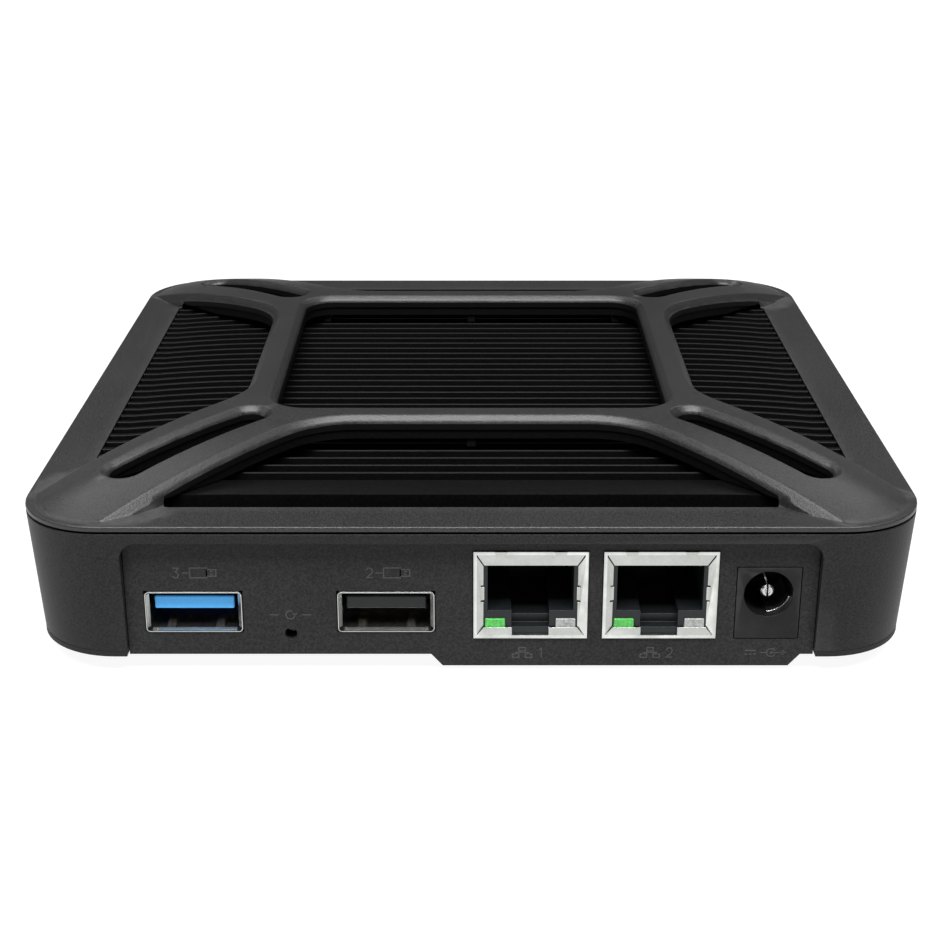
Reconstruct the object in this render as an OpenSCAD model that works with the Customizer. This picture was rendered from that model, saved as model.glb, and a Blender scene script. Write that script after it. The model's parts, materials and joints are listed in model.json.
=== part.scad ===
// Desktop firewall appliance: a square case with a finned heat sink under an X-shaped cover frame.
// Millimetres. +Z is up, +X is to the right of someone who faces the sockets, and the sockets face -Y.
// The origin is on the table, under the middle of the case.

/* [Case] */
// Width of the case at its rim
body_w = 125.4; // [120:0.2:152]
// Depth of the case at its rim
body_d = 125.4; // [115:0.2:152]
// Height from the underside of the case to the rim
case_h = 20.1; // [19.9:0.1:24.2]
// Radius of the case's corners, seen from above
corner_r = 12; // [9:0.5:15]
// Thickness of the case's side wall
wall_t = 2.0; // [1.6:0.1:2.4]
// How far the side wall leans inwards from rim to bottom
wall_lean = 1.0; // [0:0.1:1.5]
// Height that the feet hold the case above the table
foot_stand = 2.5; // [2.2:0.1:4]
// Clearance between pieces that meet
gap = 0.1; // [0.05:0.01:0.15]

/* [Cover] */
// Height of the cover's outer edge
rim_t = 0.7; // [0.5:0.1:1]
// Height of the dark groove under the cover
seam_h = 0.4; // [0.3:0.05:0.6]
// Depth of the cover's lip inside the case wall
lip_h = 1.8; // [1.4:0.1:2.2]
// Width of the flat flange around the cover
flange_w = 7.0; // [6:0.1:8.5]
// Height of the frame above the flange
frame_h = 5.9; // [4.8:0.1:7.2]
// Depth of the frame's bars
bar_depth = 3.5; // [2.9:0.1:4.2]
// Width of the frame's bars
bar_w = 5.15; // [4.3:0.05:6.2]
// Distance from the middle of the cover to the centreline of a bar
bar_offset = 32.4; // [27:0.1:37]
// Width of the diagonal arms
arm_w = 17.2; // [14.4:0.1:20.8]
// Radius of the central opening's corners
window_r = 5; // [4:0.5:6]
// Radius where a bar turns into an arm
bend_r = 14; // [10:0.5:17]
// Width of the slot in each arm
slot_w = 4.6; // [2.8:0.1:4.8]
// Distance that each slot reaches inwards past the crossing of two bars
slot_reach = 1.3; // [0:0.1:2.5]
// Distance from a slot's outer end to the screw boss in that corner
slot_stop = 4.1; // [3.6:0.1:6]

/* [Heat sink] */
// Height of the fin tips above the rim
fin_rise = 0.7; // [0.3:0.1:1.2]
// Distance from fin to fin
fin_pitch = 2.98; // [2.4:0.02:3.6]
// Thickness of a fin at its tip
fin_tip_t = 0.55; // [0.4:0.05:0.8]
// Thickness of a fin at its root
fin_root_t = 1.9; // [1.4:0.05:2.2]
// Depth of the grooves between the fins
fin_depth = 3.2; // [2.4:0.1:3.6]
// Thickness of the plate under the fins
sink_plate_t = 1.4; // [1.1:0.1:1.7]
// Distance between the heat sink and the cover's flange
sink_gap = 0.3; // [0.2:0.1:0.6]
// Width of the low ledge at the front and the back of the heat sink
sink_ledge = 2.9; // [2:0.1:3.5]
// Depth of that ledge below the fin tips
ledge_drop = 2.9; // [2:0.1:3.1]
// Width of the plain band inside the low ledge
sink_land = 5.4; // [4:0.1:7]
// Drop of the fin tips at their ends
fin_end_drop = 0.85; // [0.6:0.05:1.6]
// Length over which the fin tips drop
fin_drop_run = 20; // [15:0.5:24]
// Length of the level ends of the fins
fin_end_flat = 2.2; // [1:0.1:3]

/* [Socket panel] */
// Width of the recess for the sockets
panel_w = 95.8; // [90:0.2:100]
// Distance from the rim to the top of the recess
panel_drop = 2.55; // [2.4:0.05:3.2]
// Depth of the recess, measured from the rim
panel_set = 1.8; // [1.4:0.1:2.2]
// Thickness of the panel
panel_t = 1.6; // [1.3:0.1:1.9]
// Height that the bump under the network sockets hangs below the case
hump_h = 1.8; // [1.2:0.1:2.0]
// Width of the bump at its lowest
hump_w = 48.4; // [44:0.2:54]
// Where the middle of the bump is, along X
hump_x = 20.2; // [16:0.2:22]
// Length of the bump from the panel backwards
hump_d = 42; // [34:1:50]

/* [Sockets] */
// Where the USB 3 socket is, along X
usb3_x = -38.45; // [-40:0.05:-36]
// Where the USB 2 socket is, along X
usb2_x = -11.8; // [-14:0.05:-9]
// Width of the opening for a USB socket
usb_w = 13.7; // [13.3:0.05:14.5]
// Height of the opening for a USB socket
usb_h = 6.25; // [6.0:0.05:7.0]
// Where network socket 1 is, along X
lan1_x = 8.2; // [7:0.1:9]
// Where network socket 2 is, along X
lan2_x = 26.1; // [25:0.1:27.5]
// Width of the opening for a network socket
lan_w = 16.0; // [15.8:0.05:16.8]
// Height of the opening for a network socket
lan_h = 13.35; // [13.0:0.05:13.9]
// Where the power inlet is, along X
dc_x = 41.05; // [40.5:0.05:42.2]
// Width of the power inlet's block
dc_w = 9.05; // [8.5:0.05:9.5]
// Height of the power inlet's block
dc_h = 11.0; // [10.4:0.1:12]
// Radius of the power inlet's hole
dc_hole_r = 3.4; // [2.9:0.1:3.6]
// Radius of the power inlet's centre pin
dc_pin_r = 1.0; // [0.8:0.05:1.25]
// Where the reset hole is, along X
reset_x = -25.1; // [-27:0.1:-23]
// Radius of the reset hole
reset_hole_r = 0.865; // [0.7:0.005:1.1]
// How far the reset plunger is set back from the hole's inner end
reset_set = 0.6; // [0.5:0.05:1]
// Travel of the reset plunger
reset_travel = 0.25; // [0.2:0.05:0.4]

/* [Board] */
// Thickness of the circuit board
board_t = 1.2; // [1:0.1:1.4]
// Height of the board's top face above the underside of the case
board_rise = 3.5; // [3.4:0.05:3.9]
// Free space between the board and the far wall of the case
board_back_gap = 16; // [10:0.5:18]
// Thickness of the bottom cover's floor
floor_t = 1.2; // [1:0.1:1.3]
// Visible edge of the bottom cover
base_edge_h = 0.8; // [0.6:0.1:1]
// Radius of the screws' threads
screw_r = 1.25; // [1:0.05:1.3]
// Radius of a rubber foot
foot_r = 3.4; // [3:0.1:4.2]

/* [Hidden] */
$fn = 48;

eps = 0.01;
over = 1;                                   // how far a cutter runs past what it cuts

// Levels, from the table up
z_base = foot_stand;                        // underside of the case
z_hump = z_base - hump_h;
z_tub_bottom = z_base + base_edge_h;
z_floor = z_base + floor_t;                 // inside face of the bottom cover
z_board = z_base + board_rise;              // top face of the board
z_rim = z_base + case_h;                    // top of the flat flange
z_seam_top = z_rim - rim_t;                 // underside of the cover's edge
z_tub_top = z_seam_top - seam_h;            // outer top edge of the case wall
z_lip = z_seam_top - lip_h;
z_panel_top = z_rim - panel_drop;
z_fin_tip = z_rim + fin_rise;
z_fin_root = z_fin_tip - fin_depth;
z_sink = z_fin_root - sink_plate_t;         // underside of the finned plate
sink_slab_t = 2.4;                          // extra thickness behind the sockets
z_slab = z_sink - sink_slab_t;

// Case and cover
seam_set = 0.7;                             // depth of the groove under the cover
lip_set = wall_t + 2 * gap;                 // the cover's lip stands this far inside the rim
inner_x = body_w / 2 - flange_w;            // inner edge of the flange
inner_y = body_d / 2 - flange_w;
corner_x = body_w / 2 - corner_r;           // centres of the corner arcs
corner_y = body_d / 2 - corner_r;
dome_edge = 1.2;                            // the dome meets the flange this far inside the rim
dome_below = 12;                            // how far the dome's solid runs below the rim
ledge_lean = 0.35;                          // lean of the step down to the heat sink's ledge
corner_small_r = 0.6;                       // outer corners of the side openings
rest_w = 1.4;                               // rests between the bars and the fins
rest_x = 26.5;

// Socket panel
y_panel = -body_d / 2 + panel_set;          // front face of the panel
y_inside = y_panel + panel_t;               // back face of the panel
panel_r = 2;
hump_slope = 1.6;

// Screws and bosses
boss_r = 3;
boss_set = 9.2;                             // from the rim to a case screw's axis
boss_x = body_w / 2 - boss_set;
boss_y = body_d / 2 - boss_set;
z_boss_split = z_base + 4.6;                // where the two halves of a boss meet
head_r = 2.2;
head_h = 1.5;
thin_head_h = 0.9;
slot_cut = 0.6;                             // width of a screw head's cross slots
thread_spare = 0.5;                         // a screw hole is this much deeper than the screw
// Direction and length of the arm at +X +Y, from the crossing of two bars to the corner's screw boss
arm_angle = atan2(boss_y - bar_offset, boss_x - bar_offset);
arm_l = norm([boss_x - bar_offset, boss_y - bar_offset]);
foot_sink = 0.8;                            // depth of a foot's seat
foot_dish = 0.4;                            // depth of the hollow in a foot's underside
z_head = z_base + foot_sink;                // underside of a case screw's head
case_screw_l = 9;
board_screw_l = 5;
thread_gap = 0.03;

// Heat sink
sink_x = inner_x - sink_gap;
sink_y = inner_y - sink_gap;
sink_corner_cut = 17;                       // slanted corners that clear the case bosses
y_slab_front = -body_d / 2 + 25;            // behind the sockets
pedestal_w = 26;

// Board
board_half_w = body_w / 2 - 10.7;
y_board_front = y_inside + 0.8;
y_board_back = body_d / 2 - wall_t - wall_lean - board_back_gap;
board_notch = 8;                            // notches at the board's front corners
post_r = 2.8;
post_x = board_half_w - 5;
post_front_y = y_board_front + 32;
post_back_y = y_board_back - 6;
board_rest_r = 2;
board_rest_step = 8;                        // from a post to the rest beside it
chip_w = 17;
chip_base_w = chip_w + 6;
chip_base_h = 0.8;
chip_h = 1.4;
pad_t = 1.0;
z_chip_top = z_board + chip_h;
battery_x = -34;
battery_y = y_board_back - 14;
battery_r = 6.25;
battery_t = 2;
holder_floor = 0.9;
holder_wall = 1.6;
memory_size = [9, 13, 1.1];
memory_at = [-21, -9];                      // the memory chip nearest the processor
memory_pitch = [-12, 17];
flash_size = [11.5, 13, 1.0];
flash_at = [18, 16];
controller_size = [7, 7, 0.9];
controller_back = 17.5;                     // from the back of a network socket
transformer_size = [13, 9, 4.2];
transformer_back = 6.5;
coil_size = [7, 7, 3.2];
coil_x = 40;
coil_back = 4;
coil_pitch = 9;
capacitor_x = 30;
capacitor_r = 3.1;
capacitor_h = 6.2;
capacitor_base = [6.6, 6.6, 0.8];
capacitor_back = 5;                         // from the board's far edge to the first one
capacitor_pitch = 9;
crystal_at = [[-20, 26], [12, 26]];
crystal_r = 1.9;
crystal_w = 6.4;
crystal_h = 3.4;

// USB sockets
usb_z = z_board + usb_h / 2;                // middle of a USB opening
usb_wall = 0.35;
usb_depth = 14;
usb_proud = 0.2;
y_usb = y_panel - usb_proud;
usb_body_w = usb_w - 2 * gap;
usb_body_h = usb_h - 2 * gap;
tongue_w = 11.1;
tongue_h = 1.9;
tongue_z = usb_z + usb_h / 2 - 2.2;
tongue_set = 1.2;                           // from the socket's mouth to the tongue's tip
tongue_root = 4;

// Network sockets
lan_drop = 1.01;                            // the opening's foot is this far below the board's top
lan_z = z_board - lan_drop + lan_h / 2;
lan_proud = 0.25;
lan_wall = 0.45;
lan_skin = 0.4;                             // wall of the shield behind its front frame
lan_depth = 20;
y_lan = y_panel - lan_proud;
lan_front_d = lan_proud + panel_t + 0.3;
y_lan_body = y_lan + lan_front_d;
y_lan_back = y_lan_body + lan_depth;
lan_front_w = lan_w - 2 * gap;
lan_front_h = lan_h - 2 * gap;
lan_body_w = lan_w - 0.8;
lan_body_h = lan_z + lan_h / 2 - gap - 0.3 - z_board;
lan_body_z = z_board + lan_body_h / 2;
lan_fit = 0.02;                             // clearance between shield, housing and light pipes
jack_w = 11.9;
jack_z0 = lan_z - 2.5;
jack_z1 = lan_z + 4.6;
jack_d = 14;
latch_w = 5.2;
pipe_w = 2.9;
pipe_h = 1.5;
pipe_x = 4.9;
pipe_z = lan_z - lan_h / 2 + 1.45;
pipe_rear_z = z_board + lan_skin + pipe_h / 2;

// Power inlet
dc_drop = 1.085;                            // the block's foot is this far below the board's top
dc_z = z_board - dc_drop + dc_h / 2;
dc_hole_z = dc_z + 1.385;
dc_depth = 13.5;
dc_hole_d = 9.5;
dc_pin_set = 0.9;
dc_root_r = 0.75;
y_dc = y_panel - 0.1;

// Reset switch
reset_z = z_board - 0.3;
switch_w = 4.4;
switch_h = 2.6;
switch_d = 3.4;
plunger_r = 0.7;
plunger_out = 1.5;                          // length of the plunger in front of the switch
plunger_in = 1.2;
y_plunger = y_inside + reset_set;
y_switch = y_plunger + plunger_out;

// Status lights
status_r = 0.9;
status_pitch = 6;
status_count = 3;
status_x = -30;
status_z = z_board + 5.6;
status_wall_set = 0.55;                     // the light pipe stops this far inside the wall's face
status_lamp = [1.6, 0.8, 0.8];
status_bar_t = 3;
y_status_bar = y_board_back - status_bar_t;

// ---------------------------------------------------------------- shared shapes

// A flat plate with rounded corners, centred on the origin, from z0 to z1.
module rounded_plate(w, d, r, z0, z1) {
    translate([0, 0, z0]) linear_extrude(z1 - z0) {
        square([w - 2 * r, d], center = true);
        square([w, d - 2 * r], center = true);
        for (sx = [-1, 1], sy = [-1, 1])
            translate([sx * (w / 2 - r), sy * (d / 2 - r)]) circle(r);
    }
}

// A block whose four walls lean in towards the bottom.
module leaning_block(w, d, r, z0, z1, lean) {
    hull() {
        rounded_plate(w - 2 * lean, d - 2 * lean, r, z0, z0 + eps);
        rounded_plate(w, d, r, z1 - eps, z1);
    }
}

// A box given by its middle in X, its front face in Y and its middle in Z.
module block(x, y_front, z, size) {
    translate([x - size[0] / 2, y_front, z - size[2] / 2]) cube(size);
}

// A rectangular tube along Y with one wall thickness, open at the front.
module socket_tube(x, y_front, z, w, h, depth, wall, back_wall) {
    difference() {
        block(x, y_front, z, [w, depth, h]);
        block(x, y_front - over, z, [w - 2 * wall, depth + over - back_wall, h - 2 * wall]);
    }
}

// A round bar along Y.
module barrel(x, y_front, z, r, length) {
    translate([x, y_front, z]) rotate([-90, 0, 0]) cylinder(r = r, h = length);
}

// A round bar along Z.
module rod(x, y, z0, z1, r) {
    translate([x, y, z0]) cylinder(r = r, h = z1 - z0);
}

// A square turned by 45 degrees.
module square_on_corner(w) {
    rotate(45) square(w, center = true);
}

module at_corners(x, y) {
    for (sx = [-1, 1], sy = [-1, 1]) translate([sx * x, sy * y, 0]) children();
}

// ---------------------------------------------------------------- top cover

// The dome's section is flat out to the bars, then one arc runs down to the rim.
module dome_section(half) {
    run = half - bar_offset;
    r = (run * run + frame_h * frame_h) / (2 * frame_h);
    intersection() {
        translate([-half, -dome_below]) square([2 * half, dome_below + frame_h]);
        union() {
            translate([-bar_offset, -dome_below]) square([2 * bar_offset, dome_below + frame_h]);
            for (s = [-1, 1]) translate([s * bar_offset, frame_h - r]) circle(r, $fn = 96);
        }
    }
}

// The solid under the cover's domed top face, lowered by drop. Its corners turn about the case's.
module dome(drop) {
    half_x = body_w / 2 - dome_edge;
    half_y = body_d / 2 - dome_edge;
    translate([0, 0, z_rim - drop]) {
        difference() {
            intersection() {
                rotate([90, 0, 0]) linear_extrude(body_d, center = true) dome_section(half_x);
                rotate([90, 0, 90]) linear_extrude(body_w, center = true) dome_section(half_y);
            }
            for (sx = [-1, 1], sy = [-1, 1])
                translate([sx * (corner_x + corner_r), sy * (corner_y + corner_r), 0])
                    cube([2 * corner_r, 2 * corner_r, 4 * dome_below], center = true);
        }
        at_corners(corner_x, corner_y) rotate_extrude() intersection() {
            translate([-corner_x, 0]) dome_section(half_x);
            translate([0, -dome_below]) square([corner_r, 2 * dome_below]);
        }
    }
}

// A side opening between a bar and the flange, drawn for the side at +Y. The wide angles beside
// the bar are rounded by bend_r, and the sharp ones at the flange by corner_small_r.
module side_opening(inner, outer, half_width_at_bar, widening) {
    far = outer + 3 * bend_r;
    far_half = half_width_at_bar + widening * (far - inner);
    offset(r = corner_small_r) offset(r = -corner_small_r) intersection() {
        offset(r = bend_r) offset(r = -bend_r) polygon([[-half_width_at_bar, inner], [-far_half, far],
            [far_half, far], [half_width_at_bar, inner]]);
        translate([-body_w, inner]) square([2 * body_w, outer - inner]);
    }
}

// Places a shape on each arm: +X runs along the arm, from the crossing of the two bars.
module on_arms() {
    for (sx = [0, 1], sy = [0, 1]) mirror([sx, 0]) mirror([0, sy])
        translate([bar_offset, bar_offset]) rotate(arm_angle) children();
}

module arm_slots() {
    length = arm_l - slot_stop + slot_reach;
    on_arms() translate([-slot_reach, 0]) {
        translate([slot_w / 2, -slot_w / 2]) square([length - slot_w, slot_w]);
        for (x = [slot_w / 2, length - slot_w / 2]) translate([x, 0]) circle(slot_w / 2);
    }
}

// Where the cover is domed: inside the flange, and along the arms out to the corners.
module domed_area() {
    square([2 * inner_x, 2 * inner_y], center = true);
    on_arms() translate([0, -arm_w / 2]) square([2 * arm_l, arm_w]);
}

module cover_openings() {
    window = 2 * bar_offset - bar_w;
    inner = bar_offset + bar_w / 2;
    half_y = bar_offset + (bar_w / tan(arm_angle) - arm_w / sin(arm_angle)) / 2;
    half_x = bar_offset + (bar_w * tan(arm_angle) - arm_w / cos(arm_angle)) / 2;
    offset(r = window_r) offset(r = -window_r) square(window, center = true);
    intersection() {
        square([2 * inner_x, 2 * inner_y], center = true);
        for (m = [0, 1]) {
            mirror([0, m]) side_opening(inner, inner_y, half_y, 1 / tan(arm_angle));
            mirror([m, 0]) rotate(-90) side_opening(inner, inner_x, half_x, tan(arm_angle));
        }
    }
    arm_slots();
}

// Room for the heat sink inside the flange, seen from above. The screw bosses stand in its corners.
module sink_room() {
    difference() {
        square([2 * inner_x, 2 * inner_y], center = true);
        at_corners(sink_x, sink_y) square_on_corner(sink_corner_cut - 2 * sink_gap);
    }
}

// Small rests between the bars and the heat sink.
module cover_rests() {
    z = z_fin_tip + gap;
    rest_l = bar_w - 1;
    for (sy = [-1, 1], x = [-rest_x, 0, rest_x])
        translate([x - rest_w / 2, sy * bar_offset - rest_l / 2, z])
            cube([rest_w, rest_l, z_rim + frame_h - bar_depth - z + eps]);
}

module cover_bosses() {
    at_corners(boss_x, boss_y) difference() {
        rod(0, 0, z_boss_split + gap, z_rim, boss_r);
        rod(0, 0, z_boss_split, z_head + head_h + case_screw_l + thread_spare, screw_r + thread_gap);
    }
}

module top_cover() {
    color([0.19, 0.19, 0.2]) {
        difference() {
            intersection() {
                union() {
                    rounded_plate(body_w, body_d, corner_r, z_lip, z_rim);
                    intersection() {
                        dome(0);
                        linear_extrude(z_rim + frame_h + over) domed_area();
                    }
                }
                union() {
                    rounded_plate(body_w, body_d, corner_r, z_seam_top, z_rim + frame_h + over);
                    rounded_plate(body_w - 2 * lip_set, body_d - 2 * lip_set, corner_r - lip_set,
                        z_lip, z_rim);
                }
            }
            intersection() {
                dome(bar_depth);
                rounded_plate(2 * inner_x, 2 * inner_y, corner_r / 2, z_lip - 2 * over, z_rim + frame_h);
            }
            translate([0, 0, z_lip - over]) linear_extrude(z_fin_tip + gap - z_lip + over) sink_room();
            translate([0, 0, z_lip - over]) linear_extrude(z_rim + frame_h - z_lip + 2 * over)
                cover_openings();
        }
        cover_rests();
        cover_bosses();
    }
}

// ---------------------------------------------------------------- heat sink

// Section of one groove, cut across the fins.
module groove_section() {
    half_top = (fin_pitch - fin_tip_t) / 2;
    half_root = (fin_pitch - fin_root_t) / 2;
    rise = over / fin_depth;
    spread = (half_top - half_root) * rise;
    polygon([[-half_root, 0], [half_root, 0],
        [half_top + spread, fin_depth + over], [-half_top - spread, fin_depth + over]]);
}

// Outline of the fin tips along X: level, then an arc down to a short level end.
module tip_section() {
    half = sink_x - fin_end_flat;
    level = half - fin_drop_run;
    r = (fin_drop_run * fin_drop_run + fin_end_drop * fin_end_drop) / (2 * fin_end_drop);
    translate([-sink_x, z_sink]) square([2 * sink_x, z_fin_tip - fin_end_drop - z_sink]);
    translate([-level, z_sink]) square([2 * level, z_fin_tip - z_sink]);
    for (m = [0, 1]) mirror([m, 0]) intersection() {
        translate([level, z_fin_tip - r]) circle(r, $fn = 96);
        translate([level - eps, z_sink]) square([fin_drop_run + eps, z_fin_tip - z_sink]);
    }
}

// What is cut away above the low ledge at the front and the back, across the fins.
module ledge_section() {
    translate([sink_y - sink_ledge, z_fin_tip])
        polygon([[0, over], [0, 0], [ledge_lean, -ledge_drop], [sink_ledge + over, -ledge_drop],
            [sink_ledge + over, over]]);
}

module heat_sink() {
    groove_room = 2 * (sink_y - sink_ledge - sink_land);
    groove_count = floor(groove_room / fin_pitch);
    color([0.06, 0.06, 0.065]) difference() {
        union() {
            rotate([90, 0, 0]) linear_extrude(2 * sink_y, center = true) tip_section();
            translate([-sink_x, y_slab_front, z_slab])
                cube([2 * sink_x, sink_y - y_slab_front, sink_slab_t + eps]);
            translate([-pedestal_w / 2, -pedestal_w / 2, z_chip_top + pad_t])
                cube([pedestal_w, pedestal_w, z_slab - z_chip_top - pad_t + eps]);
            at_posts() rod(0, 0, z_board, z_slab + eps, post_r);
        }
        for (i = [0 : groove_count - 1])
            translate([0, (i - (groove_count - 1) / 2) * fin_pitch, z_fin_root])
                rotate([90, 0, 90]) linear_extrude(2 * (sink_x + over), center = true) groove_section();
        for (m = [0, 1]) mirror([0, m, 0])
            rotate([90, 0, 90]) linear_extrude(2 * (sink_x + over), center = true) ledge_section();
        linear_extrude(2 * z_rim) at_corners(sink_x, sink_y) square_on_corner(sink_corner_cut);
        at_posts()
            rod(0, 0, z_board - over, z_board - board_t + board_screw_l + thread_spare, screw_r + thread_gap);
    }
}

module at_posts() {
    for (sx = [-1, 1], y = [post_front_y, post_back_y]) translate([sx * post_x, y, 0]) children();
}

// ---------------------------------------------------------------- case

// Outline of the recess, seen from the front: square below, rounded above.
module window_outline(w, z_low, z_high, r) {
    translate([-w / 2, z_low]) square([w, z_high - r - z_low]);
    translate([-w / 2 + r, z_low]) square([w - 2 * r, z_high - z_low]);
    for (s = [-1, 1]) translate([s * (w / 2 - r), z_high - r]) circle(r);
}

// Extrudes an outline drawn in X and Z from y0 backwards to y1.
module along_y(y0, y1) {
    translate([0, y1, 0]) rotate([90, 0, 0]) linear_extrude(y1 - y0) children();
}

module case_tub() {
    color([0.17, 0.17, 0.18]) difference() {
        union() {
            leaning_block(body_w, body_d, corner_r, z_tub_bottom, z_tub_top, wall_lean);
            rounded_plate(body_w - 2 * seam_set, body_d - 2 * seam_set, corner_r - seam_set,
                z_tub_top - eps, z_seam_top);
        }
        leaning_block(body_w - 2 * wall_t, body_d - 2 * wall_t, corner_r - wall_t,
            z_tub_bottom - eps, z_seam_top + eps, wall_lean);
        along_y(-body_d / 2 - over, -body_d / 2 + wall_t + wall_lean + over)
            window_outline(panel_w, z_tub_bottom - over, z_panel_top, panel_r);
        at_status_lights() rotate([-90, 0, 0])
            cylinder(r = status_r + gap, h = body_d / 2 + over);
    }
}

// Outline of the bump, seen from the front, shrunk on all sides but the top by inset.
module hump_section(inset, z_top) {
    low = hump_w / 2 - inset;
    high = low + hump_slope;
    translate([hump_x, 0]) polygon([[-high, z_base], [-high, z_top], [high, z_top], [high, z_base],
        [low, z_hump + inset], [-low, z_hump + inset]]);
}

module bottom_cover() {
    base_w = body_w - 2 * wall_lean;
    base_d = body_d - 2 * wall_lean;
    in_w = base_w - 2 * (wall_t + 2 * gap);
    in_d = base_d - 2 * (wall_t + 2 * gap);
    in_r = corner_r - wall_t - 2 * gap;
    ring_t = 1;
    ring_h = 1.6;
    seat_r = foot_r + 1;
    color([0.14, 0.14, 0.15]) difference() {
        union() {
            rounded_plate(base_w, base_d, corner_r, z_base, z_tub_bottom - eps);
            rounded_plate(in_w, in_d, in_r, z_base, z_floor);
            along_y(y_inside + eps, y_inside + hump_d) hump_section(0, z_base + eps);
            intersection() {
                at_corners(boss_x, boss_y) rod(0, 0, z_base, z_floor + foot_sink, seat_r);
                rounded_plate(in_w, in_d, in_r, z_base, z_board);
            }
            at_corners(boss_x, boss_y) rod(0, 0, z_base, z_boss_split, boss_r);
            difference() {
                rounded_plate(in_w, in_d, in_r, z_base, z_floor + ring_h);
                rounded_plate(in_w - 2 * ring_t, in_d - 2 * ring_t, in_r - ring_t,
                    z_base, z_floor + 2 * ring_h);
                translate([-panel_w / 2, -body_d / 2, z_floor])
                    cube([panel_w, body_d / 2 - in_d / 2 + 2 * ring_t, 2 * ring_h]);
            }
            at_posts() for (s = [-1, 1]) translate([0, s * board_rest_step, 0])
                rod(0, 0, z_base, z_board - board_t, board_rest_r);
        }
        translate([-panel_w / 2 - gap, -body_d / 2 - over, z_hump - over])
            cube([panel_w + 2 * gap, panel_set + panel_t + over + eps, z_board]);
        along_y(y_inside - over, y_inside + hump_d - floor_t) hump_section(floor_t, z_floor + eps);
        at_corners(boss_x, boss_y) {
            rod(0, 0, z_base - over, z_base + foot_sink, foot_r + gap / 2);
            rod(0, 0, z_base, z_head + head_h, head_r + gap);
            rod(0, 0, z_base, z_boss_split + over, screw_r + gap);
        }
    }
}

module rubber_feet() {
    color([0.1, 0.1, 0.1]) at_corners(boss_x, boss_y) difference() {
        rod(0, 0, 0, z_base + foot_sink, foot_r);
        rod(0, 0, -over, foot_dish, foot_r / 2);
    }
}

// A round screw head with a cross recess in its underside.
module screw_head(z0, h, r) {
    difference() {
        rod(0, 0, z0, z0 + h, r);
        for (a = [0, 90]) rotate(a) translate([-0.6 * r, -slot_cut / 2, z0 - over])
            cube([1.2 * r, slot_cut, over + h / 2]);
    }
}

module case_screws() {
    color([0.75, 0.75, 0.77]) at_corners(boss_x, boss_y) {
        screw_head(z_head, head_h, head_r);
        rod(0, 0, z_head + head_h - eps, z_head + head_h + case_screw_l, screw_r);
    }
}

// ---------------------------------------------------------------- socket panel

module socket_panel() {
    deep = panel_t + 2 * over;
    color([0.12, 0.12, 0.125]) difference() {
        union() {
            along_y(y_panel, y_inside)
                window_outline(panel_w - 2 * gap, z_base, z_panel_top - gap, panel_r - gap);
            along_y(y_panel, y_inside) hump_section(0, z_base + eps);
        }
        for (x = [usb3_x, usb2_x]) block(x, y_panel - over, usb_z, [usb_w, deep, usb_h]);
        for (x = [lan1_x, lan2_x]) block(x, y_panel - over, lan_z, [lan_w, deep, lan_h]);
        block(dc_x, y_panel - over, dc_z, [dc_w, deep, dc_h]);
        barrel(reset_x, y_panel - over, reset_z, reset_hole_r, deep);
    }
}

// ---------------------------------------------------------------- board and what is on it

module main_board() {
    notch_w = switch_w + 0.6;
    color([0.05, 0.22, 0.16]) difference() {
        translate([-board_half_w, y_board_front, z_board - board_t])
            cube([2 * board_half_w, y_board_back - y_board_front, board_t]);
        for (s = [-1, 1]) translate([s * board_half_w, y_board_front, z_board])
            cube([2 * board_notch, 2 * board_notch, 6], center = true);
        translate([reset_x - notch_w / 2, y_board_front - over, z_board - board_t - over])
            cube([notch_w, y_switch + switch_d + 0.3 - y_board_front + over, board_t + 2 * over]);
        at_posts() rod(0, 0, z_board - board_t - over, z_board + over, screw_r + gap);
    }
}

module board_screws() {
    color([0.75, 0.75, 0.77]) at_posts() {
        screw_head(z_board - board_t - thin_head_h, thin_head_h, head_r);
        rod(0, 0, z_board - board_t - eps, z_board - board_t + board_screw_l, screw_r);
    }
}

// A flat block on the board's top face.
module chip(x, y, size) {
    translate([x - size[0] / 2, y - size[1] / 2, z_board]) cube(size);
}

module processor() {
    color([0.1, 0.1, 0.11]) {
        chip(0, 0, [chip_base_w, chip_base_w, chip_base_h]);
        chip(0, 0, [chip_w, chip_w, chip_h]);
    }
}

module thermal_pad() {
    color([0.6, 0.62, 0.66]) translate([0, 0, chip_h]) chip(0, 0, [chip_w, chip_w, pad_t]);
}

module memory_chips() {
    color([0.08, 0.08, 0.085]) for (i = [0, 1], j = [0, 1])
        chip(memory_at[0] + i * memory_pitch[0], memory_at[1] + j * memory_pitch[1], memory_size);
}

module flash_chip() {
    color([0.08, 0.08, 0.085]) chip(flash_at[0], flash_at[1], flash_size);
}

module lan_controllers() {
    color([0.08, 0.08, 0.085]) for (x = [lan1_x, lan2_x])
        chip(x, y_lan_back + controller_back, controller_size);
}

module lan_transformers() {
    color([0.09, 0.09, 0.1]) for (x = [lan1_x, lan2_x])
        chip(x, y_lan_back + transformer_back, transformer_size);
}

module power_coils() {
    color([0.3, 0.3, 0.31]) for (i = [0:3])
        chip(coil_x, y_lan_back + coil_back + i * coil_pitch, coil_size);
}

module can_capacitors() {
    color([0.8, 0.8, 0.82]) for (i = [0:2]) {
        y = y_board_back - capacitor_back - i * capacitor_pitch;
        chip(capacitor_x, y, capacitor_base);
        rod(capacitor_x, y, z_board + capacitor_base[2] - eps, z_board + capacitor_h, capacitor_r);
    }
}

module crystals() {
    color([0.82, 0.82, 0.84]) for (at = crystal_at) translate([at[0], at[1], 0]) {
        chip(0, 0, [crystal_w, 2 * crystal_r, crystal_h]);
        for (s = [-1, 1]) rod(s * crystal_w / 2, 0, z_board, z_board + crystal_h, crystal_r);
    }
}

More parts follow.
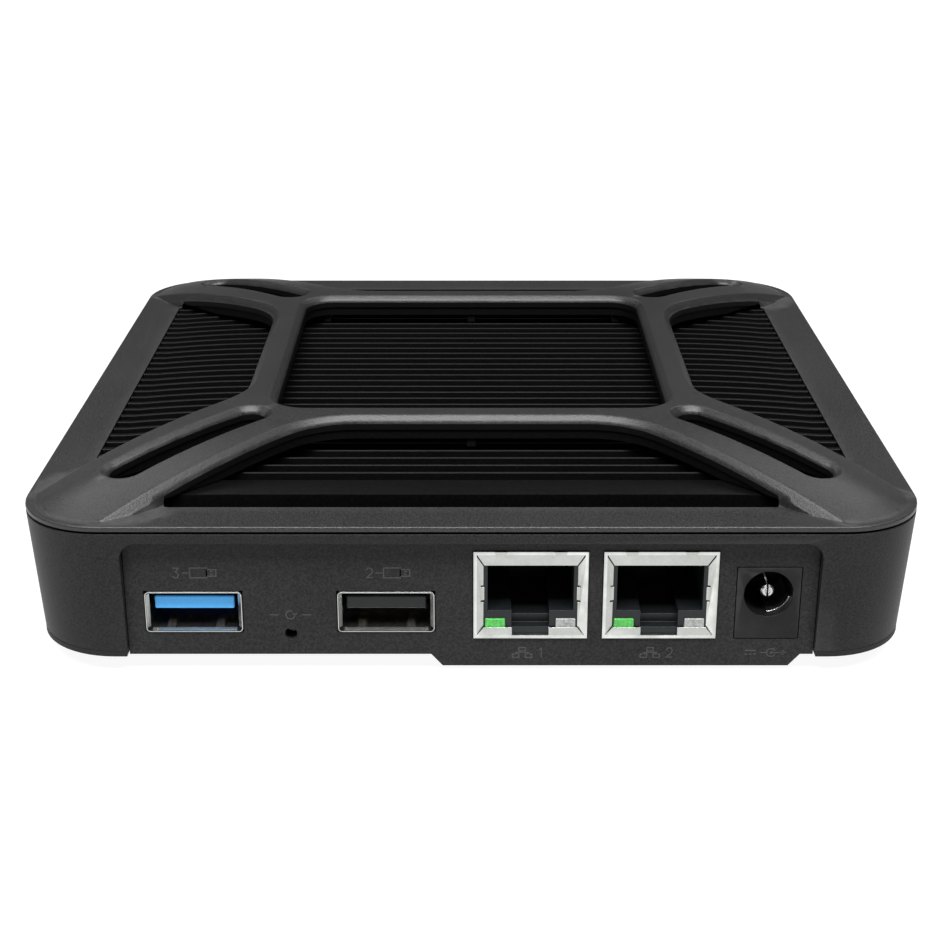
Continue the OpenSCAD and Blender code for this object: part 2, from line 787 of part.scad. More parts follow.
module battery_holder() {
    rim = 3.6;
    notch_w = 5;
    color([0.75, 0.72, 0.66]) difference() {
        rod(battery_x, battery_y, z_board, z_board + rim, battery_r + holder_wall);
        rod(battery_x, battery_y, z_board + holder_floor, z_board + rim + over, battery_r + gap);
        translate([battery_x - notch_w / 2, battery_y, z_board + holder_floor])
            cube([notch_w, battery_r + 2 * holder_wall, rim]);
    }
}

// A coin cell: a wide can over a slightly narrower one.
module clock_battery() {
    z = z_board + holder_floor;
    step = 0.6;
    color([0.8, 0.8, 0.82]) {
        rod(battery_x, battery_y, z, z + battery_t - eps, battery_r - 0.5);
        rod(battery_x, battery_y, z + step, z + battery_t, battery_r);
    }
}

module at_status_lights() {
    for (i = [0 : status_count - 1]) translate([status_x + i * status_pitch, 0, status_z]) children();
}

// One clear moulding on two legs: a bar over the lamps, and a round stub to the wall for each.
module status_light_pipe() {
    leg_w = 2.04;
    bar_end = 2;
    z_bar = z_board + 2 * status_lamp[2];
    z_top = status_z + status_r + 0.6;
    span = (status_count - 1) * status_pitch;
    color([0.85, 0.88, 0.9]) {
        at_status_lights() barrel(0, y_status_bar + status_bar_t - eps, 0, status_r,
            body_d / 2 - status_wall_set - y_status_bar - status_bar_t);
        translate([status_x - bar_end, y_status_bar, z_bar])
            cube([span + 2 * bar_end, status_bar_t, z_top - z_bar]);
        for (x = [status_x - bar_end - leg_w + eps, status_x + span + bar_end - eps])
            translate([x, y_status_bar, z_board]) cube([leg_w, status_bar_t, z_top - z_board]);
    }
}

module status_lights() {
    color([0.9, 0.9, 0.8]) for (i = [0 : status_count - 1])
        chip(status_x + i * status_pitch, y_status_bar + status_bar_t / 2, status_lamp);
}

// ---------------------------------------------------------------- USB sockets

module usb_shell(x) {
    foot_h = usb_z - usb_body_h / 2 - z_board;
    color([0.78, 0.78, 0.8]) {
        difference() {
            socket_tube(x, y_usb, usb_z, usb_body_w, usb_body_h, usb_depth, usb_wall, 0.4);
            block(x, y_usb + usb_depth - 0.6, usb_z, [usb_body_w - 1, 1, usb_body_h - 1.2]);
        }
        for (s = [-1, 1]) translate([x + s * (usb_body_w / 2 - 0.7) - 0.5, y_board_front + 3, z_board])
            cube([1, 8, foot_h + eps]);
    }
}

module usb_tongue(x, colour) {
    y_root = y_usb + usb_depth - 0.4 - tongue_root;
    y_tip = y_usb + tongue_set;
    color(colour) {
        block(x, y_tip, tongue_z, [tongue_w, y_root - y_tip + eps, tongue_h]);
        block(x, y_root, usb_z,
            [usb_body_w - 2 * usb_wall - 2 * lan_fit, tongue_root, usb_body_h - 2 * usb_wall - 2 * lan_fit]);
    }
}

// Spring contacts on the underside of the tongue.
module usb_contacts(x, count, pitch) {
    contact_t = 0.15;
    color([0.85, 0.7, 0.35]) for (i = [0 : count - 1])
        block(x + (i - (count - 1) / 2) * pitch, y_usb + tongue_set + 0.6,
            tongue_z - (tongue_h + contact_t) / 2, [1.0, 7.5, contact_t]);
}

// ---------------------------------------------------------------- network sockets

module lan_shield(x) {
    spring_w = 2.2;
    spring_l = 7;
    spring_t = 0.4;
    spring_x = 3.6;
    color([0.86, 0.87, 0.86]) {
        socket_tube(x, y_lan, lan_z, lan_front_w, lan_front_h, lan_front_d + eps, lan_wall, -over);
        difference() {
            block(x, y_lan_body, lan_body_z, [lan_body_w, lan_depth, lan_body_h]);
            block(x, y_lan_body - over, lan_body_z,
                [lan_body_w - 2 * lan_skin, lan_depth + over - lan_skin, lan_body_h - 2 * lan_skin]);
        }
        for (s = [-1, 1]) block(x + s * spring_x, y_lan_body - eps, lan_z + (lan_h - spring_t) / 2 - gap,
            [spring_w, spring_l, spring_t]);
    }
}

module lan_housing(x) {
    front_w = lan_front_w - 2 * lan_wall - 2 * lan_fit;
    front_h = lan_front_h - 2 * lan_wall - 2 * lan_fit;
    y_face = y_lan + 0.5;
    pipe_d = 5.2;                           // depth of the pockets for the light pipes
    color([0.06, 0.06, 0.06]) difference() {
        union() {
            block(x, y_face, lan_z, [front_w, y_lan_body - y_face, front_h]);
            block(x, y_lan_body - eps, lan_body_z, [lan_body_w - 2 * (lan_skin + lan_fit),
                lan_depth - 0.5, lan_body_h - 2 * (lan_skin + lan_fit)]);
        }
        translate([x - jack_w / 2, y_face - over, jack_z0]) cube([jack_w, jack_d + over, jack_z1 - jack_z0]);
        translate([x - latch_w / 2, y_face - over, pipe_rear_z + pipe_h / 2])
            cube([latch_w, jack_d + over, jack_z0 - pipe_rear_z]);
        translate([x - latch_w / 2, y_face - over, pipe_z + 0.2])
            cube([latch_w, y_lan_body - y_face + over, jack_z0 - pipe_z]);
        for (s = [-1, 1]) {
            block(x + s * pipe_x, y_face - over, pipe_z, [pipe_w, y_lan_body - y_face + over, pipe_h]);
            translate([x + s * pipe_x - pipe_w / 2, y_face + 1.2, pipe_z - pipe_h / 2])
                cube([pipe_w, pipe_d - 1.2, pipe_rear_z - pipe_z + pipe_h]);
        }
    }
}

// Eight spring wires that slope down into the socket from its roof.
module lan_contacts(x) {
    pitch = 1.02;
    wire = 0.35;
    y0 = y_lan + 3.2;
    run = 8;
    fall = 2.6;
    color([0.87, 0.74, 0.4]) for (i = [0:7])
        translate([x + (i - 3.5) * pitch + wire / 2, 0, 0]) rotate([90, 0, -90]) linear_extrude(wire)
            polygon([[-y0, jack_z1], [-y0, jack_z1 - wire], [-y0 - run, jack_z1 - fall],
                [-y0 - run - 2 * wire, jack_z1 - fall], [-y0 - run - 2 * wire, jack_z1 - fall + wire]]);
}

// A clear bar that carries a lamp's light to the socket's lower corner.
module lan_light_pipe(x, side, colour) {
    w = pipe_w - 2 * lan_fit;
    front_d = y_lan_body - y_lan - 0.35;
    color(colour) {
        block(x + side * pipe_x, y_lan + 0.35, pipe_z, [w, front_d, pipe_h - 2 * lan_fit]);
        translate([x + side * pipe_x - w / 2, y_lan + 2.0, pipe_z - pipe_h / 2 + lan_fit])
            cube([w, front_d + 0.35 - 2.0, pipe_rear_z - pipe_z + pipe_h - 2 * lan_fit]);
        translate([x + side * pipe_x - w / 2, y_lan_body - eps, pipe_rear_z - pipe_h / 2 + lan_fit])
            cube([w, 3, pipe_h - 2 * lan_fit]);
    }
}

// ---------------------------------------------------------------- power inlet

module dc_jack_housing() {
    front_d = panel_t + 0.4;
    z_top = dc_z + dc_h / 2 - gap;
    color([0.05, 0.05, 0.05]) difference() {
        union() {
            block(dc_x, y_dc, dc_z, [dc_w - 2 * gap, front_d, dc_h - 2 * gap]);
            translate([dc_x - dc_w / 2 + gap, y_dc + front_d - eps, z_board])
                cube([dc_w - 2 * gap, dc_depth - front_d, z_top - z_board]);
        }
        barrel(dc_x, y_dc - over, dc_hole_z, dc_hole_r, dc_hole_d + over);
        barrel(dc_x, y_dc, dc_hole_z, dc_root_r, dc_depth + over);
    }
}

module dc_jack_pin() {
    color([0.85, 0.85, 0.87]) {
        barrel(dc_x, y_dc + dc_pin_set, dc_hole_z, dc_pin_r, dc_hole_d - dc_pin_set);
        barrel(dc_x, y_dc + dc_hole_d - eps, dc_hole_z, dc_root_r, dc_depth - dc_hole_d);
    }
}

// A bent strip that lies along the lower right of the hole.
module dc_jack_spring() {
    strip_t = 0.25;
    color([0.85, 0.85, 0.87]) translate([dc_x, y_dc + 1.2, dc_hole_z]) rotate([-90, 0, 0])
        rotate(15) rotate_extrude(angle = 75)
            translate([dc_hole_r - strip_t - lan_fit, 0]) square([strip_t, 7]);
}

// ---------------------------------------------------------------- reset switch

module reset_switch_body() {
    tab = 1.6;
    color([0.2, 0.2, 0.21]) difference() {
        block(reset_x, y_switch, reset_z, [switch_w, switch_d, switch_h]);
        barrel(reset_x, y_switch - over, reset_z, plunger_r + gap, over + plunger_in + 2 * reset_travel);
    }
    color([0.75, 0.75, 0.77]) for (s = [-1, 1])
        translate([reset_x + s * (switch_w / 2 + tab / 4) - tab / 2, y_switch + tab / 2, z_board])
            cube([tab, tab, 0.3]);
}

module reset_plunger() {
    color([0.85, 0.85, 0.83])
        barrel(reset_x, y_plunger, reset_z, plunger_r, plunger_out + plunger_in);
}

// ---------------------------------------------------------------- nodes

top_cover();
heat_sink();
case_tub();
bottom_cover();
socket_panel();
rubber_feet();
case_screws();
main_board();
board_screws();
usb_shell(usb3_x);  // usb3_shell
usb_tongue(usb3_x, [0.08, 0.3, 0.8]);  // usb3_tongue
usb_contacts(usb3_x, 5, 1.9);  // usb3_contacts
usb_shell(usb2_x);  // usb2_shell
usb_tongue(usb2_x, [0.06, 0.06, 0.06]);  // usb2_tongue
usb_contacts(usb2_x, 4, 2.5);  // usb2_contacts
lan_shield(lan1_x);  // lan1_shield
lan_housing(lan1_x);  // lan1_housing
lan_contacts(lan1_x);  // lan1_contacts
lan_light_pipe(lan1_x, -1, [0.3, 0.75, 0.35]);  // lan1_green_light_pipe
lan_light_pipe(lan1_x, 1, [0.85, 0.87, 0.88]);  // lan1_clear_light_pipe
lan_shield(lan2_x);  // lan2_shield
lan_housing(lan2_x);  // lan2_housing
lan_contacts(lan2_x);  // lan2_contacts
lan_light_pipe(lan2_x, -1, [0.3, 0.75, 0.35]);  // lan2_green_light_pipe
lan_light_pipe(lan2_x, 1, [0.85, 0.87, 0.88]);  // lan2_clear_light_pipe
dc_jack_housing();
dc_jack_pin();
dc_jack_spring();
reset_switch_body();
reset_plunger();
processor();
thermal_pad();
memory_chips();
flash_chip();
lan_controllers();
lan_transformers();
power_coils();
can_capacitors();
crystals();
battery_holder();
clock_battery();
status_lights();
status_light_pipe();
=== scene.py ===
"""Looks of a square desktop firewall appliance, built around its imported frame.

Lengths are in millimetres until a mesh is written, in metres, in the frame's own axes: +Z is up and
the sockets face -Y.
"""

from __future__ import annotations

import json
import logging
import math
from dataclasses import dataclass, field
from enum import Enum
from typing import Iterable, Sequence

import bmesh
import bpy
import numpy as np
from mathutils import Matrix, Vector
from mathutils.geometry import delaunay_2d_cdt

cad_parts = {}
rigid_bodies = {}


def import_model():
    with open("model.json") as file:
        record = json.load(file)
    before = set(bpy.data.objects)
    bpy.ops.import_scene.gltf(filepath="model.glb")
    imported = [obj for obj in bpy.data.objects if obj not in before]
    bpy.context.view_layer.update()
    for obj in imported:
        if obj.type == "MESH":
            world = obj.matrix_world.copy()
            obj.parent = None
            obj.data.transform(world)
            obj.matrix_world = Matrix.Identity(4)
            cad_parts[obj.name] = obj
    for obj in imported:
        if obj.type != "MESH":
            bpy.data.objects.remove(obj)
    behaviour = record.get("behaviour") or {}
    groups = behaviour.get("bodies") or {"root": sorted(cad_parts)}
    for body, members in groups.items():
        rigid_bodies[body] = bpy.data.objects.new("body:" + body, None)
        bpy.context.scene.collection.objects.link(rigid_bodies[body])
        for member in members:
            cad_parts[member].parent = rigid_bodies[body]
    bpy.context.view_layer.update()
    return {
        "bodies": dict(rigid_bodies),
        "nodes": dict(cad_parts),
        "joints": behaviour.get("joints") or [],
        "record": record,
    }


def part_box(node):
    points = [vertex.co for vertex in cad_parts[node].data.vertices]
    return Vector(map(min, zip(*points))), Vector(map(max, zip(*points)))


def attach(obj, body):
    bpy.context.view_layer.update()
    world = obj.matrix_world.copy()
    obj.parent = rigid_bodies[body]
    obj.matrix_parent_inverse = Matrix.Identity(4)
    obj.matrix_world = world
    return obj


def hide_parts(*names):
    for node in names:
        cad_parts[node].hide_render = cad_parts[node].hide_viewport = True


LOG = logging.getLogger("appliance")
MM = 0.001
CASE = "case"
BUTTON = "reset_button"

Point2 = tuple[float, float]
Point3 = tuple[float, float, float]
Piece = bpy.types.Object
Socket = bpy.types.NodeSocket


# ---------------- frame


def node_box(name: str) -> tuple[Vector, Vector]:
    """Corners of a CAD node.

    Args:
        name: The node's name.

    Returns:
        Its lowest and highest corner, in millimetres.
    """
    low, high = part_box(name)
    return low / MM, high / MM


# ---------------- shader groups


class GroupTree:
    """A shader node group with named inputs and outputs."""

    def __init__(self, name: str, inputs: dict[str, float], outputs: dict[str, str]) -> None:
        """Starts an empty group.

        Args:
            name: The group's name.
            inputs: Name and default of each number that goes in.
            outputs: Name and socket type of each result.
        """
        self.tree = bpy.data.node_groups.new(name, "ShaderNodeTree")
        for label, default in inputs.items():
            socket = self.tree.interface.new_socket(label, in_out="INPUT", socket_type="NodeSocketFloat")
            socket.default_value = default
        for label, kind in outputs.items():
            self.tree.interface.new_socket(label, in_out="OUTPUT", socket_type=kind)
        self.given = self.tree.nodes.new("NodeGroupInput")
        self.result = self.tree.nodes.new("NodeGroupOutput")

    def node(self, kind: str, **values: object) -> bpy.types.Node:
        """Adds a node and sets its attributes.

        Args:
            kind: The node's type.
            **values: Attributes to set.

        Returns:
            The node.
        """
        made = self.tree.nodes.new(kind)
        for key, value in values.items():
            setattr(made, key, value)
        return made

    def link(self, source: Socket, target: Socket) -> None:
        """Joins two sockets."""
        self.tree.links.new(source, target)

    def noise(self, scale: Socket | float, detail: float) -> bpy.types.Node:
        """Adds noise on the object's own coordinates.

        Args:
            scale: A socket, or a number of waves per metre.
            detail: How many finer layers the noise has.

        Returns:
            The noise node.
        """
        place = self.node("ShaderNodeTexCoord")
        noise = self.node("ShaderNodeTexNoise")
        noise.inputs["Detail"].default_value = detail
        self.link(place.outputs["Object"], noise.inputs["Vector"])
        if isinstance(scale, float):
            noise.inputs["Scale"].default_value = scale
        else:
            self.link(scale, noise.inputs["Scale"])
        return noise

    def math(
        self, operation: str, *values: Socket | float, clamp: bool = False
    ) -> Socket:
        """Adds a Math node.

        Args:
            operation: Blender's name of the operation.
            values: Its inputs in order, each a socket or a number.
            clamp: Whether the result is kept from 0 to 1.

        Returns:
            The result's socket.
        """
        made = self.node("ShaderNodeMath", operation=operation, use_clamp=clamp)
        for slot, value in zip(made.inputs, values):
            if isinstance(value, (int, float)):
                slot.default_value = value
            else:
                self.link(value, slot)
        return made.outputs[0]


def make_grain_group() -> bpy.types.NodeTree:
    """Moulded grain: a height for bump, and a slow tone change over the surface.

    Returns:
        The node group.
    """
    group = GroupTree(
        "moulded_grain",
        {"Grain Scale": 3000.0, "Blotch Scale": 60.0},
        {"Height": "NodeSocketFloat", "Tone": "NodeSocketFloat"},
    )
    fine = group.noise(group.given.outputs["Grain Scale"], 2.0)
    finer = group.noise(group.math("MULTIPLY", group.given.outputs["Grain Scale"], 2.7), 1.0)
    slow = group.noise(group.given.outputs["Blotch Scale"], 3.0)
    height = group.math("ADD", fine.outputs["Fac"], group.math("MULTIPLY", finer.outputs["Fac"], 0.5))
    group.link(height, group.result.inputs["Height"])
    sharp = group.math("MULTIPLY", group.math("SUBTRACT", fine.outputs["Fac"], 0.35), 3.3, clamp=True)
    speck = group.math("MULTIPLY", sharp, 0.6)
    tone = group.math("ADD", speck, group.math("MULTIPLY", slow.outputs["Fac"], 0.4))
    group.link(tone, group.result.inputs["Tone"])
    return group.tree


def make_wear_and_highlight_group() -> bpy.types.NodeTree:
    """Worn outer edges that also carry a painted highlight: a mask that is 1 on sharp outer edges.

    Returns:
        The node group.
    """
    group = GroupTree("edge_wear", {"Reach": 12.0, "Breakup": 400.0}, {"Mask": "NodeSocketFloat"})
    shape = group.node("ShaderNodeNewGeometry")
    broken = group.noise(group.given.outputs["Breakup"], 2.0)
    raised = group.math("SUBTRACT", shape.outputs["Pointiness"], 0.515)
    edge = group.math("MULTIPLY", raised, group.given.outputs["Reach"], clamp=True)
    group.link(group.math("MULTIPLY", edge, broken.outputs["Fac"], clamp=True), group.result.inputs["Mask"])
    return group.tree


def make_dust_group() -> bpy.types.NodeTree:
    """Fine dust on what faces up: a mask from 0 to 1.

    Returns:
        The node group.
    """
    group = GroupTree("settled_dust", {"Amount": 0.1, "Patch Scale": 90.0}, {"Mask": "NodeSocketFloat"})
    shape = group.node("ShaderNodeNewGeometry")
    split = group.node("ShaderNodeSeparateXYZ")
    group.link(shape.outputs["Normal"], split.inputs[0])
    patches = group.noise(group.given.outputs["Patch Scale"], 6.0)
    up = group.math("MAXIMUM", split.outputs["Z"], 0.0)
    mask = group.math("MULTIPLY", up, patches.outputs["Fac"])
    group.link(
        group.math("MULTIPLY", mask, group.given.outputs["Amount"], clamp=True), group.result.inputs["Mask"]
    )
    return group.tree


# ---------------- finishes

Colour = tuple[float, float, float]


@dataclass(frozen=True)
class Finish:
    """One surface finish and the numbers of its shader."""

    name: str
    colour: Colour
    roughness: float
    metallic: float = 0.0
    specular: float = 0.5
    tone_spread: float = 0.25
    grain_scale: float = 3000.0
    grain_depth: float = 0.0
    blotch_scale: float = 60.0
    rough_spread: float = 0.08
    # lighter colour on sharp outer edges: partly wear, partly a painted highlight along the edges
    wear_and_highlight: float = 0.0
    wear_and_highlight_colour: Colour = (0.2, 0.2, 0.2)
    dust: float = 0.0
    transmission: float = 0.0
    coat: float = 0.0
    # emission on a part that holds no lamp: a painted glow
    painted_glow: Colour = (0.0, 0.0, 0.0)
    painted_glow_strength: float = 0.0
    anisotropic: float = 0.0


class Paint(Enum):
    """Every finish on the appliance."""

    # the cover's lighter edge colour is worn edges and a painted highlight along the chamfers' creases
    COVER = Finish(
        "cover_plastic", (0.0155, 0.0155, 0.0159), 0.38, specular=0.46, tone_spread=0.9, grain_scale=3400.0,
        grain_depth=0.034, wear_and_highlight=0.5, wear_and_highlight_colour=(0.07, 0.07, 0.07), dust=0.01,
    )
    # darker copy of the cover plastic for the openings' upper walls and the rests under the bars: painted
    # shade
    COVER_WALL = Finish(
        "cover_opening_wall", (0.005, 0.005, 0.0051), 0.5, specular=0.1, tone_spread=0.5, grain_scale=5000.0,
    )
    # near-black copy of the cover plastic for the openings' ledges and lower walls: painted shade deep in the
    # openings
    COVER_INSIDE = Finish("cover_inside", (0.004, 0.004, 0.004), 0.6, specular=0.08, tone_spread=0.4)
    # the case's lighter edge colour is worn edges and a painted highlight
    CASE_WALL = Finish(
        "case_plastic", (0.014, 0.014, 0.0145), 0.48, specular=0.17, tone_spread=0.8, grain_scale=3800.0,
        grain_depth=0.034, wear_and_highlight=0.4, wear_and_highlight_colour=(0.06, 0.06, 0.06),
    )
    BASE = Finish(
        "base_plastic", (0.012, 0.012, 0.012), 0.6, specular=0.25, tone_spread=0.2, grain_scale=3000.0,
        grain_depth=0.02,
    )
    PANEL = Finish(
        "panel_plastic", (0.016, 0.016, 0.016), 0.52, specular=0.21, tone_spread=0.8, grain_scale=3800.0,
        grain_depth=0.034,
    )
    PRINT = Finish(
        "printed_mark", (0.05, 0.05, 0.051), 0.6, specular=0.3, tone_spread=0.3, grain_scale=2600.0,
    )
    SINK = Finish(
        "black_anodised", (0.0024, 0.0024, 0.0025), 0.4, specular=0.08, tone_spread=0.4, grain_scale=2600.0,
        grain_depth=0.012,
    )
    RUBBER = Finish(
        "foot_rubber", (0.012, 0.012, 0.012), 0.85, specular=0.3, grain_scale=1500.0, grain_depth=0.03,
    )
    STEEL = Finish("zinc_steel", (0.62, 0.62, 0.64), 0.3, metallic=1.0, tone_spread=0.12, blotch_scale=500.0)
    SHELL = Finish(
        "nickel_shell", (0.56, 0.57, 0.55), 0.26, metallic=1.0, tone_spread=0.06, blotch_scale=420.0,
        rough_spread=0.05,
    )
    # the shield's near-white edge colour is a painted highlight on the sheet's edges, with some wear
    SHIELD = Finish(
        "tin_shield", (0.4, 0.415, 0.39), 0.32, metallic=1.0, tone_spread=0.1, grain_scale=2600.0,
        grain_depth=0.004, blotch_scale=380.0, rough_spread=0.2, wear_and_highlight=0.6, wear_and_highlight_colour=(0.95, 0.96, 0.94),
    )
    GOLD = Finish("gold_contact", (0.86, 0.62, 0.25), 0.22, metallic=1.0, tone_spread=0.1)
    # two copies of the tongue's one blue: a very bright one for the tip as a painted highlight, and a dark
    # one further in as painted shade inside the socket
    BLUE = Finish("blue_tongue", (0.05, 0.44, 1.0), 0.3, specular=0.5, tone_spread=0.06, coat=0.2)
    DEEP_BLUE = Finish("blue_tongue_block", (0.002, 0.012, 0.07), 0.5, specular=0.2, tone_spread=0.2)
    BLACK = Finish("socket_black", (0.008, 0.010, 0.011), 0.34, specular=0.35, tone_spread=0.25)
    # the inlet's lighter edge colour is worn edges and a painted highlight
    INLET = Finish(
        "inlet_black", (0.006, 0.006, 0.006), 0.42, specular=0.18, tone_spread=0.3, grain_scale=2400.0,
        grain_depth=0.01, wear_and_highlight=0.5, wear_and_highlight_colour=(0.05, 0.05, 0.05),
    )
    WHITE = Finish("plunger_white", (0.6, 0.6, 0.57), 0.45, tone_spread=0.1)
    # the green lens glows faintly by emission, a painted glow with no lamp behind it
    GREEN_LENS = Finish(
        "green_lens", (0.05, 0.36, 0.05), 0.3, tone_spread=0.5, blotch_scale=900.0, coat=0.4,
        painted_glow=(0.05, 0.55, 0.06), painted_glow_strength=0.12,
    )
    CLEAR_LENS = Finish("clear_lens", (0.3, 0.31, 0.3), 0.28, tone_spread=0.4, blotch_scale=900.0, coat=0.4)
    BOARD = Finish(
        "solder_mask", (0.012, 0.06, 0.032), 0.3, specular=0.5, tone_spread=0.3, blotch_scale=300.0,
    )
    CHIP = Finish(
        "chip_epoxy", (0.016, 0.016, 0.017), 0.6, tone_spread=0.2, grain_scale=3500.0, grain_depth=0.02,
    )
    PAD = Finish(
        "thermal_pad", (0.26, 0.27, 0.30), 0.8, tone_spread=0.2, grain_scale=1500.0, grain_depth=0.03,
    )
    FERRITE = Finish(
        "ferrite", (0.07, 0.07, 0.072), 0.65, tone_spread=0.3, grain_scale=2200.0, grain_depth=0.03,
    )
    NYLON = Finish("holder_nylon", (0.48, 0.43, 0.34), 0.5, tone_spread=0.15)


class Palette:
    """Makes each finish's material once and hands it out."""

    def __init__(self) -> None:
        """Builds the shader groups that the materials share."""
        self.grain = make_grain_group()
        self.wear_and_highlight = make_wear_and_highlight_group()
        self.dust = make_dust_group()
        self.made: dict[str, bpy.types.Material] = {}

    def get(self, paint: Paint) -> bpy.types.Material:
        """The material of a finish.

        Args:
            paint: The finish.

        Returns:
            Its material, made once.
        """
        if paint.value.name not in self.made:
            self.made[paint.value.name] = self._build(paint.value)
        return self.made[paint.value.name]

    def _group(self, tree: bpy.types.NodeTree, owner: bpy.types.NodeTree, **values: float) -> bpy.types.Node:
        """Places a shared group in a material and sets its inputs.

        Args:
            tree: The shared group.
            owner: The material's tree.
            **values: The group's inputs, by name.

        Returns:
            The group's node.
        """
        node = owner.nodes.new("ShaderNodeGroup")
        node.node_tree = tree
        for label, value in values.items():
            node.inputs[label.replace("_", " ")].default_value = value
        return node

    def _mix(
        self,
        tree: bpy.types.NodeTree,
        factor: Socket,
        first: Socket | Colour,
        second: Colour,
    ) -> Socket:
        """Mixes two colours by a mask.

        Args:
            tree: The material's tree.
            factor: The mask.
            first: Colour where it is 0.
            second: Colour where it is 1.

        Returns:
            The mixed colour.
        """
        node = tree.nodes.new("ShaderNodeMix")
        node.data_type = "RGBA"
        tree.links.new(factor, node.inputs["Factor"])
        start, end = node.inputs[6], node.inputs[7]
        if isinstance(first, tuple):
            start.default_value = (*first, 1.0)
        else:
            tree.links.new(first, start)
        end.default_value = (*second, 1.0)
        return node.outputs[2]

    def _build(self, finish: Finish) -> bpy.types.Material:
        """Builds one material.

        Args:
            finish: The numbers of the finish.

        Returns:
            The new material.
        """
        material = bpy.data.materials.new(finish.name)
        material.use_nodes = True
        tree = material.node_tree
        shader = tree.nodes["Principled BSDF"]
        shader.inputs["Metallic"].default_value = finish.metallic
        shader.inputs["Specular IOR Level"].default_value = finish.specular
        shader.inputs["Anisotropic"].default_value = finish.anisotropic
        shader.inputs["Transmission Weight"].default_value = finish.transmission
        shader.inputs["Coat Weight"].default_value = finish.coat
        shader.inputs["Coat Roughness"].default_value = 0.12
        # painted glow: emission on a finish that is no lamp
        if finish.painted_glow_strength > 0.0:
            shader.inputs["Emission Color"].default_value = (*finish.painted_glow, 1.0)
            shader.inputs["Emission Strength"].default_value = finish.painted_glow_strength
        grain = self._group(
            self.grain, tree, Grain_Scale=finish.grain_scale, Blotch_Scale=finish.blotch_scale
        )
        dark = tuple(channel * (1.0 - finish.tone_spread) for channel in finish.colour)
        light = tuple(min(1.0, channel * (1.0 + finish.tone_spread)) for channel in finish.colour)
        colour = self._mix(tree, grain.outputs["Tone"], dark, light)
        # sharp edges get a lighter colour: worn edges and a painted highlight
        if finish.wear_and_highlight > 0.0:
            wear_and_highlight = self._group(self.wear_and_highlight, tree, Reach=12.0 * finish.wear_and_highlight)
            colour = self._mix(tree, wear_and_highlight.outputs["Mask"], colour, finish.wear_and_highlight_colour)
        if finish.dust > 0.0:
            dust = self._group(self.dust, tree, Amount=finish.dust)
            colour = self._mix(tree, dust.outputs["Mask"], colour, (0.35, 0.34, 0.32))
        tree.links.new(colour, shader.inputs["Base Color"])
        spread = tree.nodes.new("ShaderNodeMapRange")
        spread.inputs["To Min"].default_value = finish.roughness * (1.0 - finish.rough_spread)
        spread.inputs["To Max"].default_value = finish.roughness * (1.0 + finish.rough_spread)
        tree.links.new(grain.outputs["Tone"], spread.inputs["Value"])
        tree.links.new(spread.outputs["Result"], shader.inputs["Roughness"])
        if finish.grain_depth > 0.0:
            bump = tree.nodes.new("ShaderNodeBump")
            bump.inputs["Strength"].default_value = 1.0
            bump.inputs["Distance"].default_value = finish.grain_depth * MM
            tree.links.new(grain.outputs["Height"], bump.inputs["Height"])
            tree.links.new(bump.outputs["Normal"], shader.inputs["Normal"])
        return material


# ---------------- mesh tools


class Shell:
    """Collects faces with their corner normals, and welds corners that share a place."""

    def __init__(self) -> None:
        """Starts with no faces."""
        self.points: list[Point3] = []
        self.index: dict[tuple[int, int, int], int] = {}
        self.faces: list[tuple[int, ...]] = []
        self.normals: list[Point3] = []
        self.layers: list[int] = []
        self.layer = 0

    def weld(self, point: Sequence[float]) -> int:
        """The number of a point, which is new if no point is there yet.

        Args:
            point: Its place.

        Returns:
            Its number.
        """
        key = tuple(round(float(value) * 1e4) for value in point)
        if key not in self.index:
            self.index[key] = len(self.points)
            self.points.append(tuple(float(value) for value in point))
        return self.index[key]

    def face(self, corners: Sequence[Sequence[float]], normals: Sequence[Sequence[float]]) -> None:
        """Adds a face, dropping corners that weld together.

        Args:
            corners: The corners' places.
            normals: A normal for each corner.
        """
        found = [self.weld(corner) for corner in corners]
        kept = [i for i in range(len(found)) if found[i] != found[i - 1]]
        if len(kept) > 2 and len({found[i] for i in kept}) == len(kept):
            self.faces.append(tuple(found[i] for i in kept))
            self.layers.append(self.layer)
            self.normals.extend(tuple(float(v) for v in normals[i]) for i in kept)

    def strip(
        self,
        first: Sequence[Point3],
        second: Sequence[Point3],
        normals_first: Sequence[Point3],
        normals_second: Sequence[Point3],
    ) -> None:
        """Joins two closed loops of equal length with quads.

        Args:
            first: The loop on the left of the direction of travel.
            second: The loop on the right.
            normals_first: A normal for each point of the first loop.
            normals_second: A normal for each point of the second loop.
        """
        count = len(first)
        for i in range(count):
            j = (i + 1) % count
            self.face(
                (first[i], second[i], second[j], first[j]),
                (normals_first[i], normals_second[i], normals_second[j], normals_first[j]),
            )

    def write(self, name: str, materials: Sequence[bpy.types.Material]) -> Piece:
        """Makes the mesh object, in metres.

        Args:
            name: The object's name.
            materials: The material of each layer of faces.

        Returns:
            The new object.
        """
        mesh = bpy.data.meshes.new(name)
        mesh.from_pydata([[value * MM for value in point] for point in self.points], [], self.faces)
        for material in materials:
            mesh.materials.append(material)
        mesh.polygons.foreach_set("material_index", self.layers)
        mesh.polygons.foreach_set("use_smooth", [True] * len(mesh.polygons))
        mesh.normals_split_custom_set(self.normals)
        return link(bpy.data.objects.new(name, mesh))


def link(made: Piece) -> Piece:
    """Puts an object in the scene."""
    bpy.context.scene.collection.objects.link(made)
    return made


